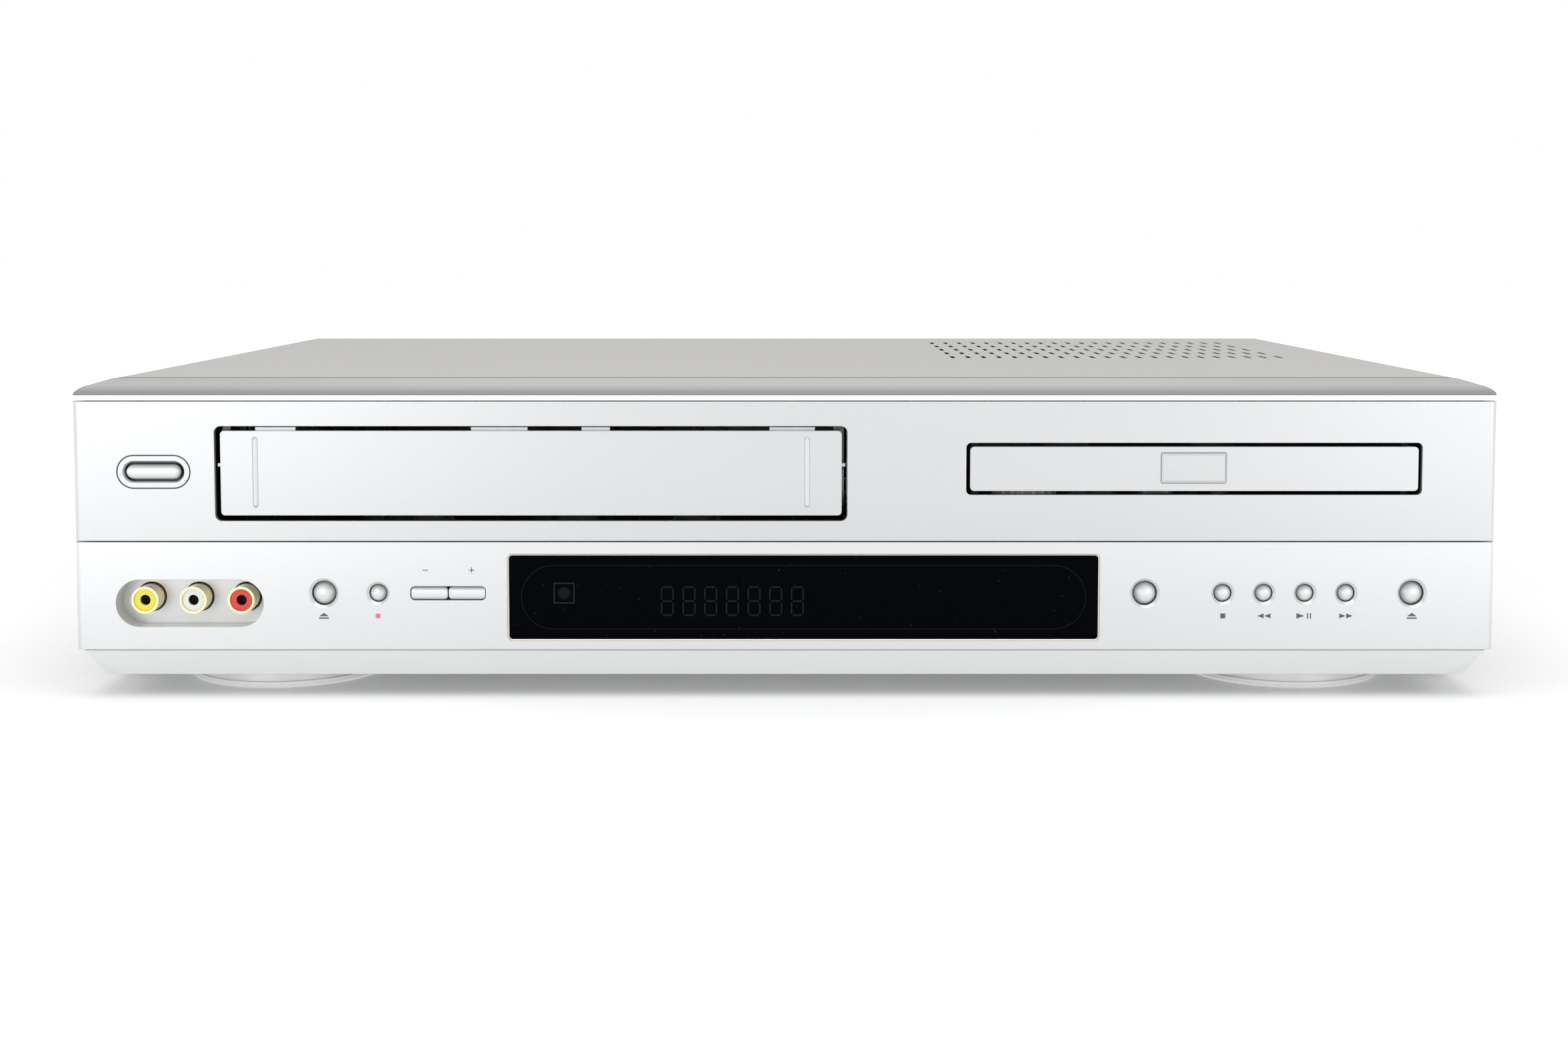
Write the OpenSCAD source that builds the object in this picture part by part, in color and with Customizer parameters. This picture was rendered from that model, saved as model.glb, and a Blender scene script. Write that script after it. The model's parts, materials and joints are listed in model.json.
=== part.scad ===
// Disc and video cassette combination player: cabinet, front keys, disc drawer, tape deck.
// Origin at the bottom centre. The front faces -Y and +Z is up. All lengths in millimetres.

/* [Cabinet] */
// Overall width across the front fascia
cabinet_w = 430; // [425:1:450]
// Overall height, floor to the top of the cover
cabinet_h = 96; // [96:0.5:110]
// Overall depth, from the fascia to the ends of the rear sockets
cabinet_d = 310; // [310:1:340]
// How far the rear sockets stand out of the rear panel
socket_reach = 7; // [5:0.5:9]
// How far each side of the cover stands back from the end of the fascia
cover_inset = 2; // [1.6:0.1:3]
// Sheet thickness of the cover, the chassis and the rear panel
sheet_t = 1; // [0.6:0.1:1.2]
// Outside bend radius of the cover's top edges
cover_bend = 2.5; // [2:0.1:4]
// Depth of the moulded front, from the fascia back to the cover
front_depth = 32; // [30:1:36]
// Height of the chassis floor above the ground
chassis_z = 7; // [6.5:0.1:8]

/* [Cover vents] */
// Number of slots in each row
vent_columns = 22; // [10:1:24]
// Number of rows
vent_rows = 5; // [2:1:5]
// Distance between slots along a row
vent_pitch_x = 5.8; // [4:0.1:6]
// Distance between rows
vent_pitch_y = 26.9; // [20:0.1:28]
// Length of one slot
vent_length = 13; // [8:0.5:16]
// Width of one slot
vent_width = 1.6; // [1:0.1:2.4]

/* [Fascia] */
// Thickness of the fascia's front wall
fascia_t = 3; // [2.6:0.1:3.4]
// Height of the lower fascia's bottom edge
lower_z = 15.2; // [14.5:0.1:15.6]
// Height of the groove between the two fascias
seam_z = 48.2; // [47:0.1:49.5]
// Width of the groove between the two fascias
seam_gap = 0.4; // [0.2:0.1:0.8]
// Height of the bright rim strip
rim_h = 1.6; // [1.2:0.1:2]
// Height of the brow above the rim, at the cover
brow_rise = 3.2; // [2.6:0.1:3.4]
// Corner radius of the fascia in plan
fascia_corner = 2; // [1:0.1:3]

/* [Cassette slot] */
// Middle of the slot, measured from the left end of the fascia
slot_from_left = 138.4; // [136:0.1:141]
// Height of the slot's middle
slot_z = 68.85; // [68.6:0.05:69]
// Width of the slot
slot_w = 191; // [190:0.1:192]
// Height of the slot
slot_h = 28.8; // [28:0.1:29.2]
// Gap between the flap and the slot's sides
flap_gap = 1.6; // [1.2:0.1:2]
// Height of the flap's hinge pin
hinge_z = 86; // [86:0.1:86.3]
// Distance from the front to the flap's hinge pin
hinge_inset = 5.5; // [5.5:0.1:6]

/* [Disc drawer] */
// Middle of the drawer, measured from the right end of the fascia
drawer_from_right = 91.4; // [90:0.1:94]
// Height of the drawer front's middle
drawer_z = 70.3; // [70:0.1:70.6]
// Width of the drawer front
drawer_w = 135.2; // [133:0.1:136]
// Height of the drawer front
drawer_h = 13.4; // [12.8:0.1:13.8]
// Gap round the drawer front
drawer_gap = 1.2; // [0.8:0.1:1.6]
// How far the drawer comes out
drawer_travel = 138; // [120:1:140]
// Diameter of a disc
disc_d = 120; // [118:0.5:121]

/* [Display] */
// Width of the display window
window_w = 178.9; // [170:0.1:182]
// Height of the display window
window_h = 26; // [24:0.1:26.4]
// Window middle, to the right of the centre line
window_x = 5.7; // [4:0.1:7]
// Height of the window's middle
window_z = 31.1; // [30.8:0.1:31.4]

/* [Keys] */
// Radius of a large round key
big_key_r = 3.5; // [3.2:0.1:3.7]
// Radius of a small round key
small_key_r = 2.5; // [2.2:0.1:2.8]
// Gap between a key and its hole
key_gap = 0.25; // [0.2:0.05:0.35]
// How far a key can be pressed
key_travel = 0.8; // [0.4:0.1:0.8]
// Height of the row of keys
key_z = 32.4; // [31.5:0.1:33]
// Distance between the tape keys
key_pitch = 12.45; // [11.5:0.05:12.8]
// Length of the power key
power_key_w = 16.4; // [15:0.1:17]
// Height of the power key
power_key_h = 4.4; // [4:0.1:5]
// Width of one channel key
channel_key_w = 11; // [9:0.1:11.4]
// Height of a channel key
channel_key_h = 3.8; // [3.4:0.1:4.2]

/* [Front sockets] */
// Distance between the socket axes
jack_pitch = 14.6; // [14:0.1:15]
// Outside radius of a socket shell
jack_r = 4.15; // [4:0.05:4.2]
// Radius of the hole for the plug's pin
jack_hole_r = 1.6; // [1.5:0.05:1.8]
// Depth of the recess round the sockets
recess_depth = 7.5; // [6.5:0.1:8.5]
// Width of the recess
recess_w = 44.8; // [43:0.1:45.5]
// Height of the recess
recess_h = 14.5; // [13.5:0.1:15]

/* [Feet] */
// Radius of a front foot
front_foot_r = 30.5; // [26:0.5:32]
// Radius of a rear foot
rear_foot_r = 12; // [10.5:0.5:16]
// Feet, to each side of the centre line
foot_x = 161; // [155:1:168]
// Distance from the fascia to the front feet's middle
front_foot_y = 46; // [42:1:52]

/* [Tape deck] */
// Distance between the two reel tables
reel_pitch = 92; // [91:0.5:93]
// Height of the deck plate's top
deck_z = 26; // [25.8:0.1:26.2]
// Thickness of the deck plate
deck_t = 1.2; // [1:0.1:1.6]
// Radius of the head drum
drum_r = 31; // [30:0.1:31.2]
// Lean of the head drum, in degrees
drum_tilt = 5; // [4:0.5:6]
// Width inside the cassette holder
holder_w = 189.2; // [188.6:0.1:189.6]
// Height inside the cassette holder
holder_h = 26.3; // [25.8:0.1:26.4]
// Depth of the cassette holder
holder_d = 41.5; // [36:0.5:42]
// How far the carriage runs back
carriage_travel = 57; // [40:1:57]
// How far the holder drops
holder_drop = 18; // [12:0.5:18]

/* [Hidden] */
$fn = 48;
eps = 0.01;

// Colours
silver = [0.87, 0.89, 0.91];
cover_grey = [0.76, 0.76, 0.74];
brow_grey = [0.66, 0.66, 0.65];
steel = [0.72, 0.73, 0.75];
dark = [0.12, 0.12, 0.13];
board_green = [0.16, 0.42, 0.24];
gold = [0.85, 0.68, 0.3];

// Main planes
front_y = -cabinet_d/2;
rear_y = cabinet_d/2 - socket_reach;
cover_y = front_y + front_depth;
cover_w = cabinet_w - 2*cover_inset;
wall_y = front_y + fascia_t;
frame_t = 2.2;
frame_y = wall_y + frame_t;
rim_top = cabinet_h - brow_rise - 0.2;
rim_z = rim_top - rim_h;
rim_shadow = 0.3;
upper_top = rim_z - rim_shadow;
return_t = 3.3;
frame_w = cabinet_w - 2*return_t - 0.4;
frame_bottom = lower_z + 0.1;
frame_top = rim_top - 0.4;
inside_x = cover_w/2 - sheet_t;
floor_z = chassis_z + sheet_t;

// Front features
slot_x = -cabinet_w/2 + slot_from_left;
slot_bottom = slot_z - slot_h/2;
door_w = slot_w - 2*flap_gap - 0.2;
door_h = 25.7;
door_t = 2.5;
door_rib = 0.5;
door_face = front_y + door_rib;
door_back = door_face + door_t;
hinge_y = front_y + hinge_inset;
hinge_pin_r = 1;
shaft_gap = 0.06;
ear_t = 2.5;
ear_gap = 0.3;
drawer_x = cabinet_w/2 - drawer_from_right;
window_gap = 0.3;
power_x = -cabinet_w/2 + 24.5;
power_z = 69.4;
power_hole_w = power_key_w + 1.5;
power_hole_h = power_key_h + 1.5;
power_ring_w = power_key_w + 6;
power_ring_h = power_key_h + 5.9;
groove_t = 0.35;
eject_x = -cabinet_w/2 + 75.3;
record_x = -cabinet_w/2 + 91.7;
channel_x = -cabinet_w/2 + 113;
channel_split = 0.4;
source_x = cabinet_w/2 - 105.8;
stop_x = cabinet_w/2 - 82.2;
open_x = cabinet_w/2 - 24.9;
bevel = 0.8;
key_face = front_y + 0.3;
flange_t = 1;
flange_gap = 0.1;
stem_l = 0.5;
board_y = front_y + 10.4;
board_t = 1.6;
switch_body = 3.5;
plunger_front = wall_y + flange_gap + flange_t + stem_l + key_travel + 0.3;
recess_x = -cabinet_w/2 + 34.65;
recess_z = 29.3;
recess_wall = 1.5;
recess_floor = front_y + recess_depth;
jack_z = 30.2;
jack_face = front_y + 0.4;
jack_wall = 0.75;
jack_neck_r = jack_r - 0.25;
jack_hole_gap = 0.4;
jack_x = [for (i = [-1:1]) recess_x + 0.9 + i*jack_pitch];

// Disc loader
tray_z = 66;
tray_t = 5.5;
tray_half = 64.2;
tray_back = front_y + 195;
tray_start = front_y + 3.5;
disc_y = front_y + 72;
loader_y = frame_y + 2.3;
loader_back = tray_back + 5;
loader_floor = 54;
loader_wall = 2.2;
loader_half = tray_half + 0.3 + loader_wall;
loader_top = 78;
bridge_t = 1.2;
spindle_r = 1.25;
traverse_t = 1.5;
rod_x = 24;
rod_z = 59.5;
rod_r = 1.5;
pickup_y = disc_y + 26;

// Tape deck
deck_half = 100;
deck_front = front_y + 43;
deck_back = deck_front + 172;
side_x = 98.2;
side_t = 1.2;
side_back = deck_front + 107;
side_top = 87;
carriage_x = 96.2;
carriage_t = 1;
carriage_front = deck_front - 4;
carriage_back = carriage_front + 44;
carriage_bottom = 38;
carriage_pin_z = 79;
carriage_pin_y = [carriage_front + 8, carriage_back - 8];
holder_x = holder_w/2;
holder_wall = 1;
holder_front = carriage_front + 0.5;
holder_back = holder_front + holder_d;
holder_z = slot_bottom + 0.45;
holder_ledge = 12.6;
holder_pin_z = 62;
holder_pin_y = [holder_front + 8, holder_back - 8];
seat_gap = 0.05;
pin_r = 1.5;
pin_gap = 0.1;
bar_z = 84;
reel_y = deck_front + 44;
reel_r = 20;
hub_r = 6.5;
drum_x = slot_x - 4;
drum_y = deck_front + 138;
lower_drum_h = 22;
drum_h = 38;
capstan_x = slot_x + 62;
capstan_y = deck_front + 86;
arm_x = slot_x + 80;
arm_y = deck_front + 108;
arm_l = 21.5;
arm_rest = 182;
roller_x = arm_x + arm_l*cos(arm_rest);
roller_y = arm_y + arm_l*sin(arm_rest);
guide_angle = 13;
guide_travel = 48;
guide_y = deck_front + 82;
supply_guide_x = slot_x - 28;
takeup_guide_x = slot_x + 24;

// Electronics
rear_board_z = 14;
board_gap = 3;
board_side = 6;
board_front = deck_back + 12;
power_board_front = loader_back + 11;
board_left = -inside_x + board_side;
board_right = inside_x - board_side;
board_break = drawer_x - loader_half + 1;
board_split = 8;
board_post_r = 2.5;
post_inset = 6;
board_post_x = [board_left + post_inset, board_left + 126, board_break - board_split - post_inset,
    board_break + board_split + post_inset, board_right - post_inset];
disc_board_front = front_y + 28;
disc_board_back = front_y + 184;
disc_board_half = 54;
rf_x = -cabinet_w/2 + 37;
scart_x = [rf_x + 116, rf_x + 56];
av_x = rf_x + 172;
mains_x = cabinet_w/2 - 32;

// Helpers

// Rounded rectangle centred on the origin
module rounded_rect(w, h, r) {
    square([w - 2*r, h], center = true);
    square([w, h - 2*r], center = true);
    for (sx = [-1, 1], sy = [-1, 1]) translate([sx*(w/2 - r), sy*(h/2 - r)]) circle(r);
}

// Stadium centred on the origin, with its round ends left and right
module pill(w, h) {
    square([w - h, h], center = true);
    for (s = [-1, 1]) translate([s*(w - h)/2, 0]) circle(h/2);
}

// Arch outline: square feet and rounded shoulders, standing on z = bottom
module arch(w, bottom, top, r) {
    translate([-w/2, bottom]) square([w, top - bottom - r]);
    translate([-w/2 + r, bottom]) square([w - 2*r, top - bottom]);
    for (s = [-1, 1]) translate([s*(w/2 - r), top - r]) circle(r);
}

// Plan of the moulded front: rounded at the front corners, square behind
module front_plan(w, r, from, to) {
    translate([-w/2, from + r]) square([w, to - from - r]);
    translate([-w/2 + r, from]) square([w - 2*r, to - from]);
    for (s = [-1, 1]) translate([s*(w/2 - r), from + r]) circle(r);
}

// Carries an outline in x and z from y = from to y = to
module across_y(from, to) {
    translate([0, to, 0]) rotate([90, 0, 0]) linear_extrude(to - from) children();
}

// Carries an outline in y and z from x = from to x = to
module across_x(from, to) {
    translate([from, 0, 0]) rotate([90, 0, 90]) linear_extrude(to - from) children();
}

// Round bar along Y
module rod_y(x, z, r, from, to) {
    translate([x, to, z]) rotate([90, 0, 0]) cylinder(h = to - from, r = r);
}

// Round bar along X
module rod_x(y, z, r, from, to) {
    translate([from, y, z]) rotate([0, 90, 0]) cylinder(h = to - from, r = r);
}

// Upright round bar
module post(x, y, r, from, to) {
    translate([x, y, from]) cylinder(h = to - from, r = r);
}

// Block given by its lowest and highest corners
module block(low, high) {
    translate(low) cube(high - low);
}

// Cone-shaped bevel round a hole in the fascia, open to the front
module round_bevel(x, z, r) {
    translate([x, front_y + bevel, z]) rotate([90, 0, 0]) cylinder(h = bevel + eps, r1 = r, r2 = r + bevel);
}

// Wedge-shaped bevel along a row of round ends, for stadium holes
module pill_bevel(x, z, w, h, wide) {
    reach = (w - h)/2;
    for (s = [-1, 1]) translate([x + s*reach, front_y + bevel, z]) rotate([90, 0, 0])
        cylinder(h = bevel + eps, r1 = h/2, r2 = h/2 + wide);
    across_x(x - reach, x + reach)
        polygon([[front_y - eps, z - h/2 - wide], [front_y + bevel, z - h/2],
            [front_y + bevel, z + h/2], [front_y - eps, z + h/2 + wide]]);
}

// Cabinet

module top_cover() {
    color(cover_grey) difference() {
        across_y(cover_y, rear_y) difference() {
            arch(cover_w, chassis_z, cabinet_h, cover_bend);
            arch(cover_w - 2*sheet_t, chassis_z - 1, cabinet_h - sheet_t, cover_bend - sheet_t);
        }
        for (i = [0:vent_columns - 1], j = [0:vent_rows - 1])
            translate([inside_x - 27.8 - i*vent_pitch_x, rear_y - 47.8 - j*vent_pitch_y, cabinet_h - 2*sheet_t])
                linear_extrude(3*sheet_t) square([vent_width, vent_length], center = true);
        side_screws(screw_hole_r);
    }
}

screw_r = 1.5;
screw_hole_r = 1.6;
screw_z = floor_z + 5.5;
screw_y = [rear_y - 58, cover_y + 60];
rear_screw_x = [-150, 30, 150];

// Cutters, or shanks, of the cover's side screws
module side_screws(r) {
    for (s = [-1, 1], y = screw_y)
        rod_x(y, screw_z, r, s > 0 ? inside_x - 4 : -cover_w/2 - eps, s > 0 ? cover_w/2 + eps : -inside_x + 4);
}

floor_vent_rows = 6;
floor_vent_pitch = 8;

// Half the width of the chassis tongue below the front
nose = cabinet_w/2 - 15;

module bottom_chassis() {
    w = inside_x - 0.2;
    color(steel) difference() {
        union() {
            block([-w, cover_y, chassis_z], [w, rear_y - sheet_t, floor_z]);
            block([-nose, front_y + 9, chassis_z], [nose, cover_y, floor_z]);
            block([-nose, front_y + 14, floor_z], [nose, front_y + 14 + sheet_t, frame_bottom + 2]);
            for (s = [-1, 1])
                block([s > 0 ? w - sheet_t : -w, cover_y, floor_z], [s > 0 ? w : -w + sheet_t, rear_y - sheet_t, 19]);
            block([-w + sheet_t, rear_y - 2*sheet_t, floor_z], [w - sheet_t, rear_y - sheet_t, 13.6]);
            for (x = board_post_x, y = [board_front + post_inset, rear_y - board_gap - post_inset])
                post(x, y, board_post_r, floor_z, rear_board_z);
            for (x = [drawer_x - 50, drawer_x + 50], y = [disc_board_front + 8, disc_board_back - 12])
                post(x, y, board_post_r, floor_z, rear_board_z);
        }
        side_screws(screw_hole_r);
        for (x = rear_screw_x) rod_y(x, screw_z - 3, screw_hole_r, rear_y - 3, rear_y);
        for (x = [slot_x - 22, slot_x + 22, drawer_x], i = [0:floor_vent_rows - 1])
            translate([x, deck_front + 92 + i*floor_vent_pitch, chassis_z - 1]) linear_extrude(sheet_t + 2) pill(30, 3);
    }
}

module rear_panel() {
    color(steel) difference() {
        across_y(rear_y - sheet_t, rear_y)
            arch(2*inside_x - 0.6, floor_z + 0.2, cabinet_h - sheet_t - 0.2, cover_bend - sheet_t);
        for (x = scart_x) across_y(rear_y - 2, rear_y + 1) translate([x, scart_z]) rounded_rect(scart_w, scart_h, 2);
        for (z = rf_z) rod_y(rf_x, z, rf_r + 0.3, rear_y - 2, rear_y + 1);
        for (x = rear_jack_x) rod_y(x, rear_jack_z, rear_jack_r + 0.3, rear_y - 2, rear_y + 1);
        rod_y(svideo_x, rear_jack_z, svideo_r + 0.3, rear_y - 2, rear_y + 1);
        across_y(rear_y - 2, rear_y + 1) translate([mains_x, mains_z]) rounded_rect(22.6, 15.6, 2);
        for (x = rear_screw_x) rod_y(x, screw_z - 3, screw_hole_r, rear_y - 3, rear_y + 1);
    }
}

scart_z = 30;
scart_w = 49;
scart_h = 18;
rf_z = [26, 42];
rf_r = 4.75;
rear_jack_z = 30;
rear_jack_r = 4.15;
rear_jack_x = [av_x - 15, av_x, av_x + 15];
svideo_x = av_x + 32;
svideo_r = 6;
mains_z = 27;

// Outline of the brow seen from the side: an ellipse, then nearly flat
function brow_outline(steps = 10) = concat(
    [[front_y + 0.4, rim_top]],
    [for (i = [1:steps]) [front_y + 0.4 + 13*(1 - cos(90*i/steps)), rim_top + 0.72*brow_rise*sin(90*i/steps)]],
    [[cover_y, rim_top + brow_rise], [cover_y, rim_top]]);

module brow() {
    color(brow_grey) intersection() {
        across_x(-cabinet_w/2, cabinet_w/2) polygon(brow_outline());
        across_y(front_y, cover_y) arch(cabinet_w - 1, frame_bottom, cabinet_h, 3);
    }
}

module fascia_rim() {
    color("white") translate([0, 0, rim_z]) linear_extrude(rim_h) difference() {
        front_plan(cabinet_w, fascia_corner, front_y, cover_y);
        translate([-frame_w/2, wall_y]) square([frame_w, front_depth]);
    }
}

// Front wall and side returns of a fascia
module fascia_shell(bottom, top) {
    translate([0, 0, bottom]) linear_extrude(top - bottom) difference() {
        front_plan(cabinet_w, fascia_corner, front_y, cover_y);
        translate([-frame_w/2 - 0.1, wall_y]) square([frame_w + 0.2, front_depth]);
    }
}

module upper_fascia() {
    color(silver) difference() {
        fascia_shell(seam_z + seam_gap/2, upper_top);
        across_y(front_y - 1, wall_y + 1) translate([slot_x, slot_z]) rounded_rect(slot_w, slot_h, 2);
        across_y(front_y - 1, wall_y + 1) translate([drawer_x, drawer_z])
            rounded_rect(drawer_w + 2*drawer_gap, drawer_h + 2*drawer_gap, 1.5);
        across_y(front_y - 1, wall_y + 1) translate([power_x, power_z]) pill(power_hole_w, power_hole_h);
        pill_bevel(power_x, power_z, power_hole_w, power_hole_h, 0.4);
        across_y(front_y - 1, front_y + groove_t) translate([power_x, power_z]) difference() {
            pill(power_ring_w, power_ring_h);
            pill(power_ring_w - 2*groove_t, power_ring_h - 2*groove_t);
        }
    }
}

big_hole_r = big_key_r + key_gap;
small_hole_r = small_key_r + key_gap;
big_key_x = [eject_x, source_x, open_x];
small_key_x = [record_x, stop_x, stop_x + key_pitch, stop_x + 2*key_pitch, stop_x + 3*key_pitch];
channel_w = 2*channel_key_w + channel_split;

module lower_fascia() {
    color(silver) difference() {
        union() {
            fascia_shell(lower_z, seam_z - seam_gap/2);
            across_y(wall_y, recess_floor + recess_wall) translate([recess_x, recess_z])
                pill(recess_w + 2*recess_wall, recess_h + 2*recess_wall);
        }
        across_y(front_y - 1, wall_y + 1) translate([window_x, window_z])
            rounded_rect(window_w + 2*window_gap, window_h + 2*window_gap, 1.6);
        across_y(front_y - 1, recess_floor) translate([recess_x, recess_z]) pill(recess_w, recess_h);
        for (x = jack_x) rod_y(x, jack_z, jack_r + jack_hole_gap, recess_floor - 1, recess_floor + recess_wall + 1);
        for (x = big_key_x) {
            rod_y(x, key_z, big_hole_r, front_y - 1, wall_y + 1);
            round_bevel(x, key_z, big_hole_r);
        }
        for (x = small_key_x) {
            rod_y(x, key_z, small_hole_r, front_y - 1, wall_y + 1);
            round_bevel(x, key_z, small_hole_r);
        }
        across_y(front_y - 1, wall_y + 1) translate([channel_x, key_z])
            rounded_rect(channel_w + 2*key_gap, channel_key_h + 2*key_gap, 1.4);
    }
}

// Moulded carrier behind the fascias, with the flap's hinge brackets
module front_frame() {
    color(dark) difference() {
        union() {
            block([-frame_w/2, wall_y, frame_bottom], [frame_w/2, frame_y, frame_top]);
            for (s = [-1, 1]) scale_side(s)
                block([frame_w/2 - 2.5, frame_y, frame_bottom], [frame_w/2, cover_y, frame_top]);
            block([-frame_w/2, frame_y, frame_top - 2.2], [frame_w/2, cover_y, frame_top]);
            block([-frame_w/2, frame_y, frame_bottom], [frame_w/2, front_y + 14, frame_bottom + 2]);
            for (x = frame_boss_x, z = [19.5, 42]) rod_y(x, z, 2, frame_y, board_y);
            for (x = [power_x - 11.5, power_x + 11.5]) rod_y(x, 75, 2, frame_y, board_y);
        }
        block([slot_x - door_w/2 - 3.6, wall_y - 1, slot_bottom - 1], [slot_x + door_w/2 + 3.6, frame_y + 1, hinge_z + 3.8]);
        block([drawer_x - drawer_w/2 - 2, wall_y - 1, drawer_z - drawer_h/2 - 2],
            [drawer_x + drawer_w/2 + 2, frame_y + 1, drawer_z + drawer_h/2 + 2]);
        block([window_x - window_w/2 + 5, wall_y - 1, window_z - window_h/2 + 3],
            [window_x + window_w/2 - 5, frame_y + 1, window_z + window_h/2 - 3]);
        block([eject_x - 6, wall_y - 1, key_z - 6], [channel_x + channel_w/2 + 2, frame_y + 1, key_z + 6]);
        block([source_x - 6, wall_y - 1, key_z - 6], [open_x + 6, frame_y + 1, key_z + 6]);
        block([power_x - 10.5, wall_y - 1, power_z - 5.5], [power_x + 10.5, frame_y + 1, power_z + 5.5]);
        across_y(wall_y - 1, frame_y + 1) translate([recess_x, recess_z])
            pill(recess_w + 2*recess_wall + 0.4, recess_h + 2*recess_wall + 0.4);
    }
    color(dark) for (s = [-1, 1]) difference() {
        block([slot_x + (s > 0 ? door_w/2 + ear_gap : -door_w/2 - 3.2), wall_y, hinge_z - 2.6],
            [slot_x + (s > 0 ? door_w/2 + 3.2 : -door_w/2 - ear_gap), hinge_y + 2.6, frame_top - 2.2]);
        rod_x(hinge_y, hinge_z, hinge_pin_r + shaft_gap, slot_x + s*(door_w/2 + 2) - 3, slot_x + s*(door_w/2 + 2) + 3);
    }
}

frame_boss_x = [eject_x - 9, -85.4, 97.6, 202];

// Mirrors its children to the left for s = -1
module scale_side(s) {
    if (s > 0) children();
    else mirror([1, 0, 0]) children();
}

plinth_setback = 4;
plinth_corner = 2;
plinth_low_corner = 10.5;
plinth_slope = 2.4;

// Plan of the plinth at a given inset and corner radius
module plinth_plan(inset, corner) {
    front_plan(cabinet_w - 1 - 2*inset, corner, front_y + plinth_setback + inset, cover_y);
}

module plinth() {
    color(silver) difference() {
        hull() {
            translate([0, 0, lower_z - 0.2 - 1]) linear_extrude(1) plinth_plan(0, plinth_corner);
            translate([0, 0, chassis_z - 0.7]) linear_extrude(0.5) plinth_plan(plinth_slope, plinth_low_corner);
        }
        block([-nose - 0.5, front_y + plinth_setback + 4.5, chassis_z - 2], [nose + 0.5, cover_y + 1, lower_z + 1]);
    }
}

module display_window() {
    color([0.03, 0.03, 0.04]) across_y(front_y + 0.4, wall_y) translate([window_x, window_z])
        rounded_rect(window_w, window_h, 1.3);
}

pad_r = 9;
pad_t = 2;
foot_y = [front_y + front_foot_y, rear_y - 38];

module feet() {
    color(silver) for (s = [-1, 1]) {
        difference() {
            union() {
                post(s*foot_x, foot_y[0], front_foot_r, 0.5, 1.8);
                translate([s*foot_x, foot_y[0], 1.8]) cylinder(h = chassis_z - 1.8, r1 = front_foot_r - 0.7, r2 = front_foot_r - 2);
            }
            post(s*foot_x, foot_y[0], pad_r, 0, pad_t);
        }
        difference() {
            post(s*foot_x, foot_y[1], rear_foot_r, 0.5, chassis_z);
            post(s*foot_x, foot_y[1], pad_r, 0, pad_t);
        }
    }
}

module foot_pads() {
    color(dark) for (s = [-1, 1], y = foot_y) post(s*foot_x, y, pad_r - 0.1, 0, pad_t);
}

module case_screws() {
    color(steel) for (s = [-1, 1], y = screw_y) {
        rod_x(y, screw_z, 3.4, s > 0 ? cover_w/2 : -cover_w/2 - 1.4, s > 0 ? cover_w/2 + 1.4 : -cover_w/2);
        rod_x(y, screw_z, screw_r, s > 0 ? inside_x - 3 : -cover_w/2, s > 0 ? cover_w/2 : -inside_x + 3);
    }
    color(steel) for (x = rear_screw_x) {
        rod_y(x, screw_z - 3, 3.2, rear_y, rear_y + 1.4);
        rod_y(x, screw_z - 3, screw_r, rear_y - 4, rear_y);
    }
}

// Lugs on the flap's top edge, from and to, and how far the side nibs reach
door_lugs = [[-83.4, -71.2], [-18.2, -1.1], [15.2, 23.8], [72, 85.7]];
nib_l = 1.1;

module cassette_door() {
    color(silver) {
        across_y(door_face, door_back) translate([slot_x, slot_z + 0.1]) rounded_rect(door_w, door_h, 1.2);
        for (x = [slot_x - 83.3, slot_x + 83.4]) flap_rib(x, slot_z - 10.4, slot_z + 11.2);
        for (lug = door_lugs)
            block([slot_x + lug[0], door_face + 1, slot_z + door_h/2 - 0.5],
                [slot_x + lug[1], door_back, slot_z + slot_h/2 - 0.4]);
        for (s = [-1, 1])
            block([slot_x + (s > 0 ? door_w/2 - 0.5 : -door_w/2 - nib_l), door_face + 1, slot_z + 2],
                [slot_x + (s > 0 ? door_w/2 + nib_l : -door_w/2 + 0.5), door_back, slot_z + 3]);
        for (s = [-1, 1]) {
            ear = slot_x + s*(door_w/2 - ear_t/2);
            block([ear - ear_t/2, door_back, slot_z + 7], [ear + ear_t/2, hinge_y + 1.7, slot_z + 12.9]);
            block([ear - ear_t/2, wall_y + 0.5, slot_z + 12.9], [ear + ear_t/2, hinge_y + 1.7, hinge_z]);
            rod_x(hinge_y, hinge_z, 2, ear - ear_t/2, ear + ear_t/2);
            rod_x(hinge_y, hinge_z, hinge_pin_r, min(ear, ear + s*(ear_t/2 + 2.8)), max(ear, ear + s*(ear_t/2 + 2.8)));
        }
    }
}

// Half-round upright rib with tapered ends
module flap_rib(x, low, high) {
    rib_r = 2*door_rib;
    taper = 0.8;
    translate([x, front_y + rib_r, low]) {
        cylinder(h = taper, r1 = rib_r - 0.4, r2 = rib_r);
        translate([0, 0, taper]) cylinder(h = high - low - 2*taper, r = rib_r);
        translate([0, 0, high - low - taper]) cylinder(h = taper, r1 = rib_r, r2 = rib_r - 0.4);
    }
}

module tray_front() {
    color(silver) across_y(front_y, tray_start) translate([drawer_x, drawer_z]) rounded_rect(drawer_w, drawer_h, 1.2);
}

// Keys and their switches

power_crown_r = 4;
channel_crown_r = 5;
key_dome = 1.45;

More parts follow.
